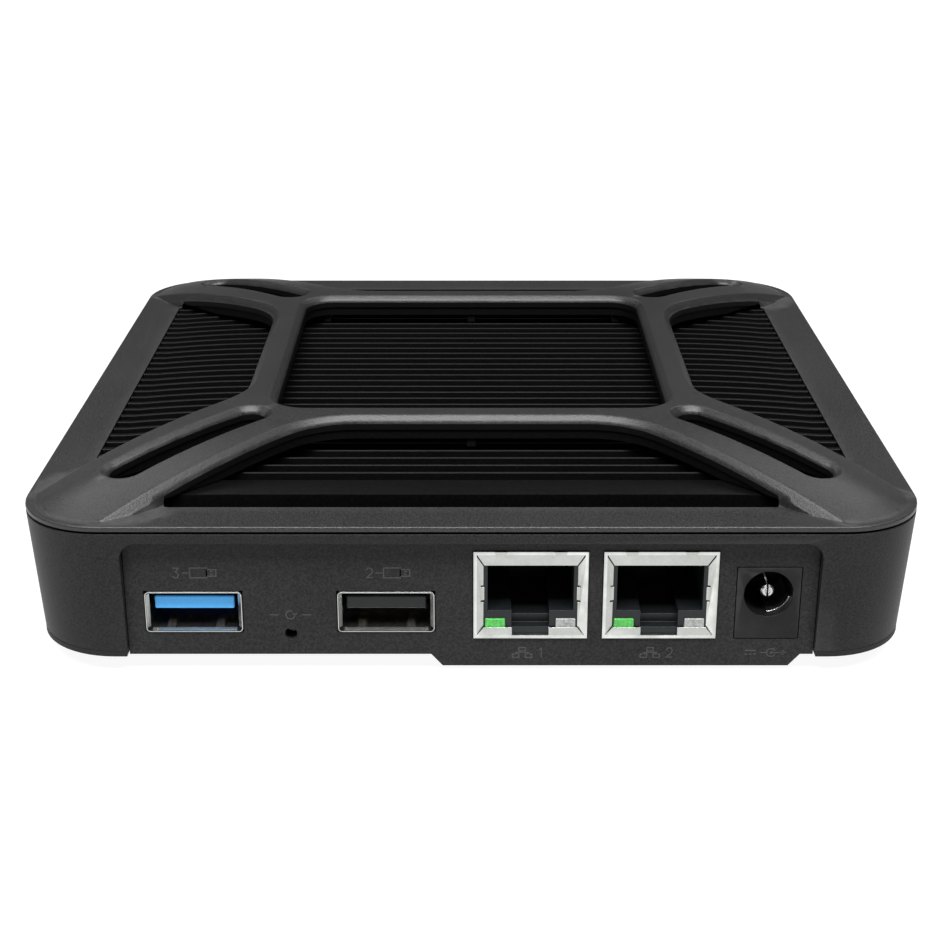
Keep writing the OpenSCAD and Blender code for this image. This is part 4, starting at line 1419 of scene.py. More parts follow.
class NodeRow:
    """A geometry node tree that repeats a piece along a straight line."""

    def __init__(self, name: str, label: str) -> None:
        """Builds the tree.

        Args:
            name: The tree's name.
            label: What the repeated piece is called among the inputs.
        """
        self.tree = bpy.data.node_groups.new(name, "GeometryNodeTree")
        face = self.tree.interface
        face.new_socket("Geometry", in_out="INPUT", socket_type="NodeSocketGeometry")
        self.keys = {
            key: face.new_socket(title, in_out="INPUT", socket_type=kind).identifier
            for key, title, kind in (
                ("piece", label, "NodeSocketObject"),
                ("count", "Count", "NodeSocketInt"),
                ("start", "Start", "NodeSocketVector"),
                ("step", "Step", "NodeSocketVector"),
                ("material", "Finish", "NodeSocketMaterial"),
            )
        }
        face.new_socket("Geometry", in_out="OUTPUT", socket_type="NodeSocketGeometry")
        nodes, links = self.tree.nodes, self.tree.links
        given = nodes.new("NodeGroupInput")
        line = nodes.new("GeometryNodeMeshLine")
        info = nodes.new("GeometryNodeObjectInfo")
        place = nodes.new("GeometryNodeInstanceOnPoints")
        real = nodes.new("GeometryNodeRealizeInstances")
        dress = nodes.new("GeometryNodeSetMaterial")
        result = nodes.new("NodeGroupOutput")
        links.new(given.outputs["Count"], line.inputs["Count"])
        links.new(given.outputs["Start"], line.inputs["Start Location"])
        links.new(given.outputs["Step"], line.inputs["Offset"])
        links.new(given.outputs[label], info.inputs["Object"])
        links.new(line.outputs["Mesh"], place.inputs["Points"])
        links.new(info.outputs["Geometry"], place.inputs["Instance"])
        links.new(place.outputs["Instances"], real.inputs["Geometry"])
        links.new(real.outputs["Geometry"], dress.inputs["Geometry"])
        links.new(given.outputs["Finish"], dress.inputs["Material"])
        links.new(dress.outputs["Geometry"], result.inputs["Geometry"])

    def fill(
        self,
        holder: Piece,
        piece: Piece,
        count: int,
        start: Point3,
        step: Point3,
        material: bpy.types.Material,
    ) -> Piece:
        """Fills an empty object with the repeated piece as plain mesh.

        Args:
            holder: The object that gets the mesh.
            piece: What is repeated.
            count: How many there are.
            start: Place of the first, in millimetres.
            step: From one to the next, in millimetres.
            material: Their material.

        Returns:
            The holder.
        """
        row = holder.modifiers.new("row", "NODES")
        row.node_group = self.tree
        row[self.keys["piece"]] = piece
        row[self.keys["count"]] = count
        row[self.keys["start"]] = [value * MM for value in start]
        row[self.keys["step"]] = [value * MM for value in step]
        row[self.keys["material"]] = material
        bpy.context.view_layer.update()
        return apply_modifiers(holder)


# ---------------- stage


@dataclass
class Studio:
    """Floor, lights and camera."""

    palette: Palette
    camera_back: float = 279.4
    camera_rise: float = 93.7
    camera_pitch: float = 21.59
    lens: float = 66.67
    sensor: float = 36.0
    shift_x: float = 0.0013
    floor_reach: float = 4.0

    def floor(self) -> None:
        """A plain pale floor."""
        reach = self.floor_reach
        mesh = bpy.data.meshes.new("floor")
        mesh.from_pydata([(-reach, -reach, 0), (reach, -reach, 0), (reach, reach, 0), (-reach, reach, 0)], [],
                         [(0, 1, 2, 3)])
        material = bpy.data.materials.new("floor_paint")
        material.use_nodes = True
        shader = material.node_tree.nodes["Principled BSDF"]
        shader.inputs["Base Color"].default_value = (0.14, 0.14, 0.14, 1.0)
        shader.inputs["Roughness"].default_value = 0.9
        shader.inputs["Specular IOR Level"].default_value = 0.1
        shader.inputs["Emission Color"].default_value = (1.0, 1.0, 1.0, 1.0)
        shader.inputs["Emission Strength"].default_value = 0.93
        mesh.materials.append(material)
        link(bpy.data.objects.new("floor", mesh))

    def softbox(
        self, name: str, place: Point3, size: Point2, power: float, aim: Point3 = (0.0, 0.0, 0.015)
    ) -> None:
        """Adds one soft light.

        Args:
            name: The light's name.
            place: Where it hangs, in metres.
            size: Its width and height, in metres.
            power: Its power in watts.
            aim: The point that it faces, in metres.
        """
        data = bpy.data.lights.new(name, "AREA")
        data.shape = "RECTANGLE"
        data.size, data.size_y = size
        data.energy = power
        light = link(bpy.data.objects.new(name, data))
        light.location = place
        light.rotation_euler = (Vector(aim) - Vector(place)).to_track_quat("-Z", "Y").to_euler()

    def lights(self) -> None:
        """A wide box overhead, a stronger strip above the front edge, two boxes behind, and a dim room."""
        self.softbox("overhead", (0.0, 0.12, 0.8), (1.25, 0.85), 2.0)
        self.softbox("front_strip", (0.0, -0.38, 0.8), (1.1, 0.26), 16.0)
        for name, side in (("left_back", -1.0), ("right_back", 1.0)):
            self.softbox(name, (side * 0.42, 0.62, 0.82), (0.4, 0.4), 1.3)
        world = bpy.data.worlds.new("room")
        world.use_nodes = True
        back = world.node_tree.nodes["Background"]
        back.inputs["Color"].default_value = (1.0, 1.0, 1.0, 1.0)
        back.inputs["Strength"].default_value = 0.1
        bpy.context.scene.world = world

    def camera(self, z_rim: float) -> None:
        """The camera, placed from the level of the case's rim.

        Args:
            z_rim: Level of the case's rim.
        """
        data = bpy.data.cameras.new("camera")
        data.lens = self.lens
        data.sensor_width = self.sensor
        data.shift_x = self.shift_x
        data.clip_start = 0.01
        made = link(bpy.data.objects.new("camera", data))
        made.location = (0.0, -self.camera_back * MM, (z_rim + self.camera_rise) * MM)
        made.rotation_euler = (math.radians(90.0 - self.camera_pitch), 0.0, 0.0)
        bpy.context.scene.camera = made

    def build(self, z_rim: float) -> None:
        """Sets the stage.

        Args:
            z_rim: Level of the case's rim.
        """
        self.floor()
        self.lights()
        self.camera(z_rim)
        view = bpy.context.scene.view_settings
        view.view_transform = "Standard"
        view.look = "None"


# ---------------- case


def cut(made: Piece, cutter: Piece) -> Piece:
    """Cuts one closed mesh out of another and removes the cutter.

    Args:
        made: The mesh to cut.
        cutter: The mesh to cut with.

    Returns:
        The cut mesh.
    """
    tool = made.modifiers.new("cut", "BOOLEAN")
    tool.operation = "DIFFERENCE"
    tool.solver = "EXACT"
    tool.object = cutter
    apply_modifiers(made)
    bpy.data.objects.remove(cutter)
    return made


def prism(
    name: str, outline: Sequence[Point2], y_front: float, y_back: float, material: bpy.types.Material
) -> Piece:
    """An outline in X and Z carried along Y.

    Args:
        name: The object's name.
        outline: The corners.
        y_front: Where it starts.
        y_back: Where it ends.
        material: Its material.

    Returns:
        The new object.
    """
    rings = [[(x, y, z) for x, z in outline] for y in (y_front, y_back)]
    return write_mesh(name, *loft_rings(rings), material)


def arc(centre: Point2, radius: float, start: float, end: float, steps: int = 8) -> list[Point2]:
    """Points on an arc, from one angle to another, in degrees.

    Args:
        centre: Its centre.
        radius: Its radius.
        start: First angle.
        end: Last angle.
        steps: Number of steps.

    Returns:
        The points.
    """
    made = []
    for k in range(steps + 1):
        a = math.radians(start + (end - start) * k / steps)
        made.append((centre[0] + radius * math.cos(a), centre[1] + radius * math.sin(a)))
    return made


def round_rectangle(
    x: float, z: float, width: float, height: float, radius: float, steps: int = 6
) -> list[Point2]:
    """A rectangle with round corners, given by its middle.

    Args:
        x: Middle along X.
        z: Middle along Z.
        width: Size along X.
        height: Size along Z.
        radius: The corners' radius.
        steps: Steps in a corner.

    Returns:
        The outline.
    """
    w, h = width / 2.0 - radius, height / 2.0 - radius
    made: list[Point2] = []
    for sx, sz, start in ((1, -1, -90.0), (1, 1, 0.0), (-1, 1, 90.0), (-1, -1, 180.0)):
        made.extend(arc((x + sx * w, z + sz * h), radius, start, start + 90.0, steps))
    return made


@dataclass
class CaseBody:
    """The case's walls, the bottom cover and the feet."""

    palette: Palette
    wall_t: float = 2.0
    lean: float = 1.0
    corner_r: float = 12.0
    seam_set: float = 0.7
    seam_h: float = 0.4
    edge: float = 0.28
    panel_w: float = 95.8
    panel_drop: float = 2.55
    panel_r: float = 2.4
    foot_r: float = 4.6
    foot_dish: float = 0.4
    light_r: float = 1.0

    def ring(self, inset: float, lean: float, z: float) -> list[Point3]:
        """The case's outline at one level.

        Args:
            inset: How far inside the rim it runs.
            lean: How far the whole wall has moved inwards at that level.
            z: The level.

        Returns:
            The outline's points.
        """
        _, high = node_box("case_tub")
        h = high.x - inset - lean
        r = self.corner_r - inset
        outline = RoundOutline([(h, -h), (h, h), (-h, h), (-h, -h)], [r] * 4, 70.0)
        return [(float(x), float(y), z) for x, y in outline.loop()]

    def walls(self) -> Piece:
        """The four leaning walls with the recess for the socket panel.

        Returns:
            The walls.
        """
        low, high = node_box("case_tub")
        z_seam = high.z
        z_top = high.z - self.seam_h
        drop = z_top - low.z
        levels = [
            (0.0, 0.0, z_top),
            (0.0, self.lean / 2.0, z_top - drop / 2.0),
            (0.0, self.lean, low.z),
            (self.wall_t, self.lean, low.z),
            (self.wall_t, 0.0, z_seam),
            (self.seam_set, 0.0, z_seam),
            (self.seam_set, 0.0, z_top),
        ]
        rings = [self.ring(*level) for level in levels]
        points, faces = loft_rings([*rings, rings[0]], caps=False)
        tub = write_mesh("case_walls", points, faces, self.palette.get(Paint.CASE_WALL))
        half = self.panel_w / 2.0
        z_panel = node_box("top_cover")[1].z - TopCover.frame_h - self.panel_drop
        r = self.panel_r
        outline = [(-half, low.z - 2.0), (half, low.z - 2.0)]
        outline += arc((half - r, z_panel - r), r, 0.0, 90.0) + arc((-half + r, z_panel - r), r, 90.0, 180.0)
        front = low.y - 2.0
        cut(tub, prism("recess", outline, front, low.y + self.wall_t + self.lean + 1.0,
                       self.palette.get(Paint.CASE_WALL)))
        box_low, box_high = node_box("status_light_pipe")
        middle = (box_low.x + box_high.x) / 2.0
        level = box_high.z - 1.5
        for step in (-1.0, 0.0, 1.0):
            place = (middle + step * 6.0, high.y - 4.0, level)
            hole = turned("light_hole", place, [(0.0, self.light_r), (6.0, self.light_r)],
                          self.palette.get(Paint.CASE_WALL))
            cut(tub, hole)
        finish_mesh(tub.data)
        return soften(tub, self.edge, 3)

    def base(self) -> Piece:
        """The bottom cover with its bump, edges rounded."""
        made = copy_node("bottom_cover", "bottom_cover_shell", self.palette.get(Paint.BASE))
        return soften(made, 0.16, 2, 40.0)

    def feet(self) -> Piece:
        """Four rubber feet, each a turned pad with a shallow dish below.

        Returns:
            The feet as one mesh.
        """
        _, high = node_box("rubber_feet")
        x = high.x - self.foot_r
        y = high.y - self.foot_r
        r = self.foot_r
        profile = [
            (self.foot_dish, 0.0), (self.foot_dish, r / 2.0 - 0.2), (0.1, r / 2.0), (0.0, r / 2.0 + 0.2),
            (0.0, r - 0.45), (0.12, r - 0.18), (0.45, r), (high.z, r), (high.z, 0.0),
        ]
        made = [
            turned("foot", (sx * x, sy * y, 0.0), profile, self.palette.get(Paint.RUBBER), "Z")
            for sx in (-1, 1) for sy in (-1, 1)
        ]
        return join("rubber_foot_pads", made)


# ---------------- socket panel


@dataclass
class SocketPanel:
    """The recessed panel and the small generic marks printed on it."""

    palette: Palette
    print_t: float = 0.02
    line: float = 0.17
    icon_level: float = 15.0
    reset_level: float = 8.6
    low_level: float = 2.75
    digit_h: float = 1.45
    digit_w: float = 0.8

    def build(self) -> Piece:
        """The panel with softened edges."""
        made = copy_node("socket_panel", "socket_panel_plate", self.palette.get(Paint.PANEL))
        return soften(made, 0.1, 2, 40.0)

    def stroke(self, line: Sequence[Point2], width: float | None = None) -> Piece:
        """One printed line.

        Args:
            line: Its points in X and Z.
            width: Its width, or the usual one.

        Returns:
            The line as a thin raised mesh.
        """
        half = (width or self.line) / 2.0
        face = node_box("socket_panel")[0].y
        points: list[Point3] = []
        for i, (x, z) in enumerate(line):
            before = np.array(line[i]) - np.array(line[i - 1]) if i > 0 else np.zeros(2)
            after = np.array(line[i + 1]) - np.array(line[i]) if i + 1 < len(line) else np.zeros(2)
            along = before / max(np.linalg.norm(before), 1e-9) + after / max(np.linalg.norm(after), 1e-9)
            along = along / max(np.linalg.norm(along), 1e-9)
            reach = half / max(0.4, abs(float(along @ (after if after.any() else before)))
                               / max(np.linalg.norm(after if after.any() else before), 1e-9))
            side = np.array((-along[1], along[0])) * reach
            for y in (face - self.print_t, face + 0.05):
                points.append((x + side[0], y, z + side[1]))
                points.append((x - side[0], y, z - side[1]))
        faces: list[tuple[int, ...]] = [(0, 1, 3, 2)]
        for i in range(len(line) - 1):
            a, b = 4 * i, 4 * (i + 1)
            faces += [(a, b, b + 1, a + 1), (a + 2, a + 3, b + 3, b + 2), (a, a + 2, b + 2, b),
                      (a + 1, b + 1, b + 3, a + 3)]
        end = 4 * (len(line) - 1)
        faces.append((end, end + 2, end + 3, end + 1))
        return write_mesh("mark", points, faces, self.palette.get(Paint.PRINT))

    def digit(self, value: int, x: float, z: float) -> list[Piece]:
        """The strokes of a digit from 1 to 3, by its middle.

        Args:
            value: The digit.
            x: Middle along X.
            z: Middle along Z.

        Returns:
            The strokes.
        """
        w, h = self.digit_w / 2.0, self.digit_h / 2.0
        shapes = {
            1: [[(x - w * 0.7, z + h * 0.55), (x, z + h), (x, z - h)]],
            2: [[(x - w, z + h * 0.6), (x - w * 0.5, z + h), (x + w * 0.5, z + h), (x + w, z + h * 0.5),
                 (x + w * 0.9, z), (x - w, z - h), (x + w, z - h)]],
            3: [[(x - w, z + h), (x + w, z + h), (x, z + h * 0.15), (x + w * 0.7, z),
                 (x + w, z - h * 0.45), (x + w * 0.5, z - h), (x - w * 0.5, z - h), (x - w, z - h * 0.7)]],
        }
        return [self.stroke(line) for line in shapes[value]]

    def frame_mark(self, x: float, z: float, width: float, height: float) -> Piece:
        """A small printed rectangle, by its middle.

        Args:
            x: Middle along X.
            z: Middle along Z.
            width: Size along X.
            height: Size along Z.

        Returns:
            The mark.
        """
        w, h = width / 2.0, height / 2.0
        line = [(x - w, z), (x - w, z - h), (x + w, z - h), (x + w, z + h), (x - w, z + h), (x - w, z)]
        return self.stroke(line)

    def plug_mark(self, x: float, value: int) -> list[Piece]:
        """A generic plug outline with a number: body, metal end and two slots.

        Args:
            x: Middle along X.
            value: The number.

        Returns:
            The strokes.
        """
        z = self.icon_level
        made = [self.frame_mark(x + 0.9, z, 2.3, 1.5), self.frame_mark(x + 2.7, z, 1.3, 1.0)]
        made += [self.stroke([(x + 2.55, z + s * 0.22), (x + 2.95, z + s * 0.22)]) for s in (-1, 1)]
        made.append(self.stroke([(x - 1.3, z), (x - 0.25, z)]))
        return made + self.digit(value, x - 2.2, z)

    def net_mark(self, x: float, value: int) -> list[Piece]:
        """Three linked squares and a number.

        Args:
            x: Middle along X.
            value: The number.

        Returns:
            The strokes.
        """
        z = self.low_level
        made = [self.frame_mark(x - 1.1, z + 0.5, 0.9, 0.55)]
        made += [self.frame_mark(x - 1.1 + s, z - 0.5, 0.9, 0.55) for s in (-0.9, 0.9)]
        made.append(self.stroke([(x - 1.1, z + 0.22), (x - 1.1, z)]))
        made.append(self.stroke([(x - 2.0, z - 0.22), (x - 2.0, z), (x - 0.2, z), (x - 0.2, z - 0.22)]))
        return made + self.digit(value, x + 1.6, z)

    def reset_mark(self, x: float) -> list[Piece]:
        """A ring arrow between two short bars.

        Args:
            x: Middle along X.

        Returns:
            The strokes.
        """
        z = self.reset_level
        ring = arc((x, z), 0.62, 60.0, 360.0, 18)
        arrow = [(x + 0.36, z + 0.25), (x + 0.66, z - 0.06), (x + 0.95, z + 0.27)]
        made = [self.stroke(ring), self.stroke(arrow)]
        made += [self.stroke([(x + s * 1.6, z), (x + s * 2.9, z)]) for s in (-1, 1)]
        return made

    def inlet_mark(self, x: float) -> list[Piece]:
        """A bar over three dashes, then a ring with a dot between a minus and a plus.

        Args:
            x: Middle along X.

        Returns:
            The strokes.
        """
        z = self.low_level
        made = [self.stroke([(x - 2.8, z + 0.3), (x - 1.2, z + 0.3)])]
        made += [
            self.stroke([(x - 2.8 + k * 0.6, z - 0.25), (x - 2.4 + k * 0.6, z - 0.25)]) for k in range(3)
        ]
        made.append(self.stroke(arc((x + 0.9, z), 0.62, 30.0, 330.0, 16)))
        made.append(self.stroke([(x + 0.82, z), (x + 0.98, z)], 0.36))
        made.append(self.stroke([(x - 0.65, z), (x + 0.28, z)]))
        made.append(self.stroke([(x + 1.0, z), (x + 2.0, z)]))
        made.append(self.stroke([(x + 2.2, z), (x + 2.9, z)]))
        made.append(self.stroke([(x + 2.55, z - 0.35), (x + 2.55, z + 0.35)]))
        return made

    def marks(self) -> Piece:
        """All printed marks as one mesh.

        Returns:
            The marks.
        """
        def middle(node: str) -> float:
            """A node's middle along X."""
            low, high = node_box(node)
            return (low.x + high.x) / 2.0

        made = self.plug_mark(middle("usb3_shell"), 3) + self.plug_mark(middle("usb2_shell"), 2)
        made += self.reset_mark(middle("reset_plunger"))
        made += self.net_mark(middle("lan1_shield"), 1) + self.net_mark(middle("lan2_shield"), 2)
        made += self.inlet_mark(middle("dc_jack_housing"))
        return join("panel_marks", made)


# ---------------- sockets


@dataclass
class UsbSocket:
    """One USB socket: a folded shell with springs, a tongue and its contacts."""

    palette: Palette
    label: str
    tongue_paint: Paint
    wall: float = 0.2
    corner: float = 0.6
    lip: float = 0.22
    flare: float = 0.42
    ramp_rise: float = 0.24
    ramp_run: float = 0.6
    # length of the tongue's brightly painted tip; behind it a blue tongue is painted dark as shade
    lit_tip_l: float = 2.0
    spring_w: float = 1.25
    spring_x: float = 3.4
    spring_rise: float = 0.75

    def shell(self) -> Piece:
        """The folded shell: a tube with round corners, a rolled mouth and four springs.

        Returns:
            The shell.
        """
        low, high = node_box(f"{self.label}_shell")
        tongue_low, _ = node_box(f"{self.label}_tongue")
        x = (low.x + high.x) / 2.0
        z_low = low.z if low.z > tongue_low.z - 4.0 else tongue_low.z - 4.0
        width = high.x - low.x
        height = high.z - z_low
        z = (high.z + z_low) / 2.0
        paint = self.palette.get(Paint.SHELL)

        def ring(inset: float, y: float) -> list[Point3]:
            """The tube's outline, a step inside its outer face, at a place along Y.

            Args:
                inset: The step inwards.
                y: The place.

            Returns:
                The points.
            """
            radius = max(0.12, self.corner - inset)
            outline = round_rectangle(x, z, width - 2 * inset, height - 2 * inset, radius)
            return [(px, y, pz) for px, pz in outline]

        front, back = low.y, high.y
        rings = [
            ring(0.0, back), ring(0.0, front + 0.12), ring(0.06, front + 0.02), ring(0.16, front),
            ring(self.wall - 0.04, front + 0.05), ring(self.wall, front + 0.2), ring(self.wall, back - 0.4),
        ]
        tube = write_mesh("tube", *loft_rings(rings), paint)
        floor = z - height / 2.0 + self.wall
        roof = z + height / 2.0 - self.wall
        parts = [tube, self.ramp(x, floor, width, front, paint)]
        for s in (-1.0, 1.0):
            side = x + s * (width / 2.0 - self.wall)
            flare = [(side, front + 0.1), (side - s * self.flare, front + 0.6), (side, front + 0.6)]
            rings = [[(px, py, pz) for px, py in flare] for pz in (floor + 0.5, roof - 0.3)]
            parts.append(write_mesh("flare", *loft_rings(rings), paint))
            parts.append(self.spring(x + s * self.spring_x, floor, 1.0, front, paint))
            parts.append(self.spring(x + s * self.spring_x, roof, -1.0, front, paint))
        return join(f"{self.label}_folded_shell", parts)

    def ramp(
        self, x: float, level: float, width: float, front: float, paint: bpy.types.Material
    ) -> Piece:
        """The guide that rises from the floor of the shell behind its mouth.

        Args:
            x: Middle along X.
            level: Level of the floor.
            width: The shell's width.
            front: Place of the mouth.
            paint: Its material.

        Returns:
            The ramp.
        """
        half = width / 2.0 - 0.9
        back = front + 0.12 + self.ramp_run
        section = [(front + 0.12, level), (back, level + self.ramp_rise), (back, level)]
        rings = [[(px, y, z) for y, z in section] for px in (x - half, x + half)]
        return write_mesh("ramp", *loft_rings(rings), paint)

    def spring(
        self, x: float, level: float, up: float, front: float, paint: bpy.types.Material
    ) -> Piece:
        """A leaf spring pressed out of the shell.

        Args:
            x: Its middle.
            level: The shell's inner face.
            up: 1 on the floor and -1 on the roof.
            front: The socket's mouth.
            paint: Its material.

        Returns:
            The spring.
        """
        rise = self.spring_rise if up > 0.0 else 0.3
        line = [(0.9, 0.02), (2.2, rise * 0.55), (3.4, rise), (4.2, rise * 0.8), (4.9, rise * 0.35)]
        rings = []
        for reach, height in line:
            half = self.spring_w / 2.0 * (1.0 - 0.05 * reach)
            z = level + up * height
            y = front + reach
            z_far = z + up * 0.16
            rings.append([(x - half, y, z), (x + half, y, z), (x + half, y, z_far), (x - half, y, z_far)])
        return write_mesh("spring", *loft_rings(rings), paint)

    def tongue(self) -> Piece:
        """The tongue with a bevelled tip, on the block at the back of the socket. A blue tongue is a very
        bright blue at its tip, a painted highlight, and dark blue further in, painted shade.

        Returns:
            The tongue.
        """
        paint = self.palette.get(self.tongue_paint)
        made = copy_node(f"{self.label}_tongue", f"{self.label}_moulded_tongue", paint)
        soften(made, 0.22, 3, 40.0)
        # faces behind the tip get the dark blue: painted shade deep in the socket
        if self.tongue_paint is Paint.BLUE:
            made.data.materials.append(self.palette.get(Paint.DEEP_BLUE))
            front = node_box(f"{self.label}_tongue")[0].y
            for polygon in made.data.polygons:
                if polygon.center.y / MM > front + self.lit_tip_l:
                    polygon.material_index = 1
        return made

    def contacts(self, count: int, pitch: float) -> Piece:
        """The contact strips on the tongue's underside, repeated by geometry nodes.

        Args:
            count: Number of strips.
            pitch: Distance between strips.

        Returns:
            The strips as one mesh.
        """
        low, high = node_box(f"{self.label}_contacts")
        paint = self.palette.get(Paint.GOLD)
        width = (high.x - low.x) - (count - 1) * pitch
        strip = rounded_box(
            "strip", (-width / 2.0, low.y, low.z), (width / 2.0, high.y, high.z), 0.05, paint
        )
        first = (low.x + high.x) / 2.0 - (count - 1) * pitch / 2.0
        name = f"{self.label}_contact_strips"
        holder = link(bpy.data.objects.new(name, bpy.data.meshes.new(name)))
        NodeRow(f"{self.label}_strips", "Strip").fill(
            holder, strip, count, (first, 0.0, 0.0), (pitch, 0.0, 0.0), paint
        )
        bpy.data.objects.remove(strip)
        return holder


@dataclass
class LanSocket:
    """One network socket: flared shield, black housing, contact springs and two light pipes."""

    palette: Palette
    label: str
    lip: float = 0.3
    side_w: float = 1.4
    top_h: float = 2.25
    foot_h: float = 1.62
    foot_gap: float = 5.1
    flare: float = 0.42
    sheet: float = 0.2
    notch: float = 0.38
    window_h: float = 2.25
    finger_x: float = 4.1
    finger_w: float = 1.9
    notch_h: float = 2.5
    tab: float = 0.12
    tab_h: float = 2.0

    def shield(self) -> Piece:
        """The shield: the box behind the panel, its flared front, side notches and top fingers.

        Returns:
            The shield.
        """
        low, high = node_box(f"{self.label}_shield")
        x = (low.x + high.x) / 2.0
        half = (high.x - low.x) / 2.0
        z_low = low.z
        z_high = high.z
        front = low.y
        paint = self.palette.get(Paint.SHIELD)
        body = soften(copy_node(f"{self.label}_shield", "body", paint), 0.06, 2, 40.0)
        parts = [body]
        inner = half - self.side_w
        z_top = z_high - self.top_h
        z_foot = z_low + self.foot_h
        edge = self.lip * 0.6
        mitre = 0.1

        def bent(outline: Sequence[Point2], falls: Sequence[float]) -> Piece:
            """A sheet whose corners lie at given depths behind the mouth.

            Args:
                outline: The sheet's corners.
                falls: Each corner's share of the flare.

            Returns:
                The sheet.
            """
            faces = [tuple(range(len(outline)))]
            points = [
                (x + px, front + fall * self.flare + 0.02, pz) for (px, pz), fall in zip(outline, falls)
            ]
            sheet = write_mesh("sheet", points, faces, paint)
            if sheet.data.polygons[0].normal.y > 0.0:
                sheet.data.flip_normals()
            thick = sheet.modifiers.new("thick", "SOLIDIFY")
            thick.thickness = self.sheet * MM
            thick.offset = -1.0
            apply_modifiers(sheet)
            return soften(sheet, 0.05, 2, 40.0)

        parts.append(bent(
            [(-half + edge + mitre, z_high - edge), (-inner + mitre, z_top), (inner - mitre, z_top),
             (half - edge - mitre, z_high - edge)],
            [0.0, 1.0, 1.0, 0.0],
        ))
        z_mid = (z_top + z_foot) / 2.0 + 0.4
        notch_up = self.notch_h / 2.0
        tab_up = self.tab_h / 2.0
        for s in (-1.0, 1.0):
            side = [
                (s * (half - edge), z_high - edge - mitre), (s * (half - edge), z_low + edge),
                (s * inner, z_foot), (s * inner, z_mid - notch_up),
                (s * (inner + self.notch), z_mid - notch_up),
                (s * (inner + self.notch), z_mid - tab_up), (s * (inner - self.tab), z_mid - tab_up),
                (s * (inner - self.tab), z_mid + tab_up), (s * (inner + self.notch), z_mid + tab_up),
                (s * (inner + self.notch), z_mid + notch_up), (s * inner, z_mid + notch_up),
                (s * inner, z_top - mitre),
            ]
            falls = [0.0, 0.0, 1.0, 1.0, 0.73, 0.73, 1.08, 1.08, 0.73, 0.73, 1.0, 1.0]
            parts.append(bent(side, falls))
            foot = [
                (s * (half - edge - 0.02), z_low + edge), (s * self.foot_gap / 2.0, z_low + edge),
                (s * self.foot_gap / 2.0, z_foot), (s * inner, z_foot),
            ]
            parts.append(bent(foot, [0.0, 0.0, 0.2, 0.2]))
            parts.append(self.finger(x + s * self.finger_x, z_high, front, paint))
        return join(f"{self.label}_flared_shield", parts)

    def finger(self, x: float, z_high: float, front: float, paint: bpy.types.Material) -> Piece:
        """A spring finger folded over the shield's upper edge.

        Args:
            x: Middle along X.
            z_high: Level of the upper edge.
            front: Place of the mouth.
            paint: Its material.

        Returns:
            The finger.
        """
        half = self.finger_w / 2.0
        outline = [
            (x - half, z_high + 0.02), (x - half * 0.7, z_high - 0.62), (x + half * 0.7, z_high - 0.62),
            (x + half, z_high + 0.02),
        ]
        return soften(prism("finger", outline, front - 0.05, front + 0.3, paint), 0.06, 2, 40.0)

    def housing(self) -> Piece:
        """The black housing with softened edges.

        Returns:
            The housing.
        """
        paint = self.palette.get(Paint.BLACK)
        made = copy_node(f"{self.label}_housing", f"{self.label}_moulded_housing", paint)
        return soften(made, 0.09, 2, 40.0)

    def contacts(self) -> Piece:
        """Eight bent wires, repeated by geometry nodes.

        Returns:
            The wires as one mesh.
        """
        low, high = node_box(f"{self.label}_contacts")
        paint = self.palette.get(Paint.GOLD)
        count = 8
        wire = 0.32
        pitch = (high.x - low.x - 0.35) / (count - 1)
        roof, foot = high.z, low.z
        run = high.y - low.y
        line = [
            (0.0, 0.15), (0.35, 0.35), (run * 0.55, (roof - foot) * 0.62), (run * 0.93, roof - foot - 0.2),
            (run, roof - foot - 0.5),
        ]
        rings = []
        for reach, drop in line:
            y, z = low.y + reach, roof - drop
            rings.append([
                (-wire / 2, y, z), (wire / 2, y, z), (wire / 2, y, z + wire), (-wire / 2, y, z + wire),
            ])
        spring = soften(write_mesh("wire", *loft_rings(rings), paint), 0.06, 1, 40.0)
        name = f"{self.label}_contact_wires"
        holder = link(bpy.data.objects.new(name, bpy.data.meshes.new(name)))
        first = (low.x + high.x) / 2.0 - (count - 1) * pitch / 2.0
        NodeRow(f"{self.label}_wires", "Wire").fill(
            holder, spring, count, (first, 0.0, 0.0), (pitch, 0.0, 0.0), paint
        )
        bpy.data.objects.remove(spring)
        return holder

    def light_pipe(self, colour: str, paint: Paint) -> Piece:
        """A light pipe with softened edges.

        Args:
            colour: The pipe's colour word.
            paint: Its finish.

        Returns:
            The light pipe.
        """
        node = f"{self.label}_{colour}_light_pipe"
        low, high = node_box(node)
        made = copy_node(node, "pipe", self.palette.get(paint))
        window = rounded_box(
            "window", (low.x + 0.05, low.y - 0.12, low.z + 0.1),
            (high.x - 0.05, low.y + 1.0, low.z + self.window_h), 0.15, self.palette.get(paint),
        )
        return join(f"{self.label}_{colour}_lens", [soften(made, 0.18, 3, 40.0), window])


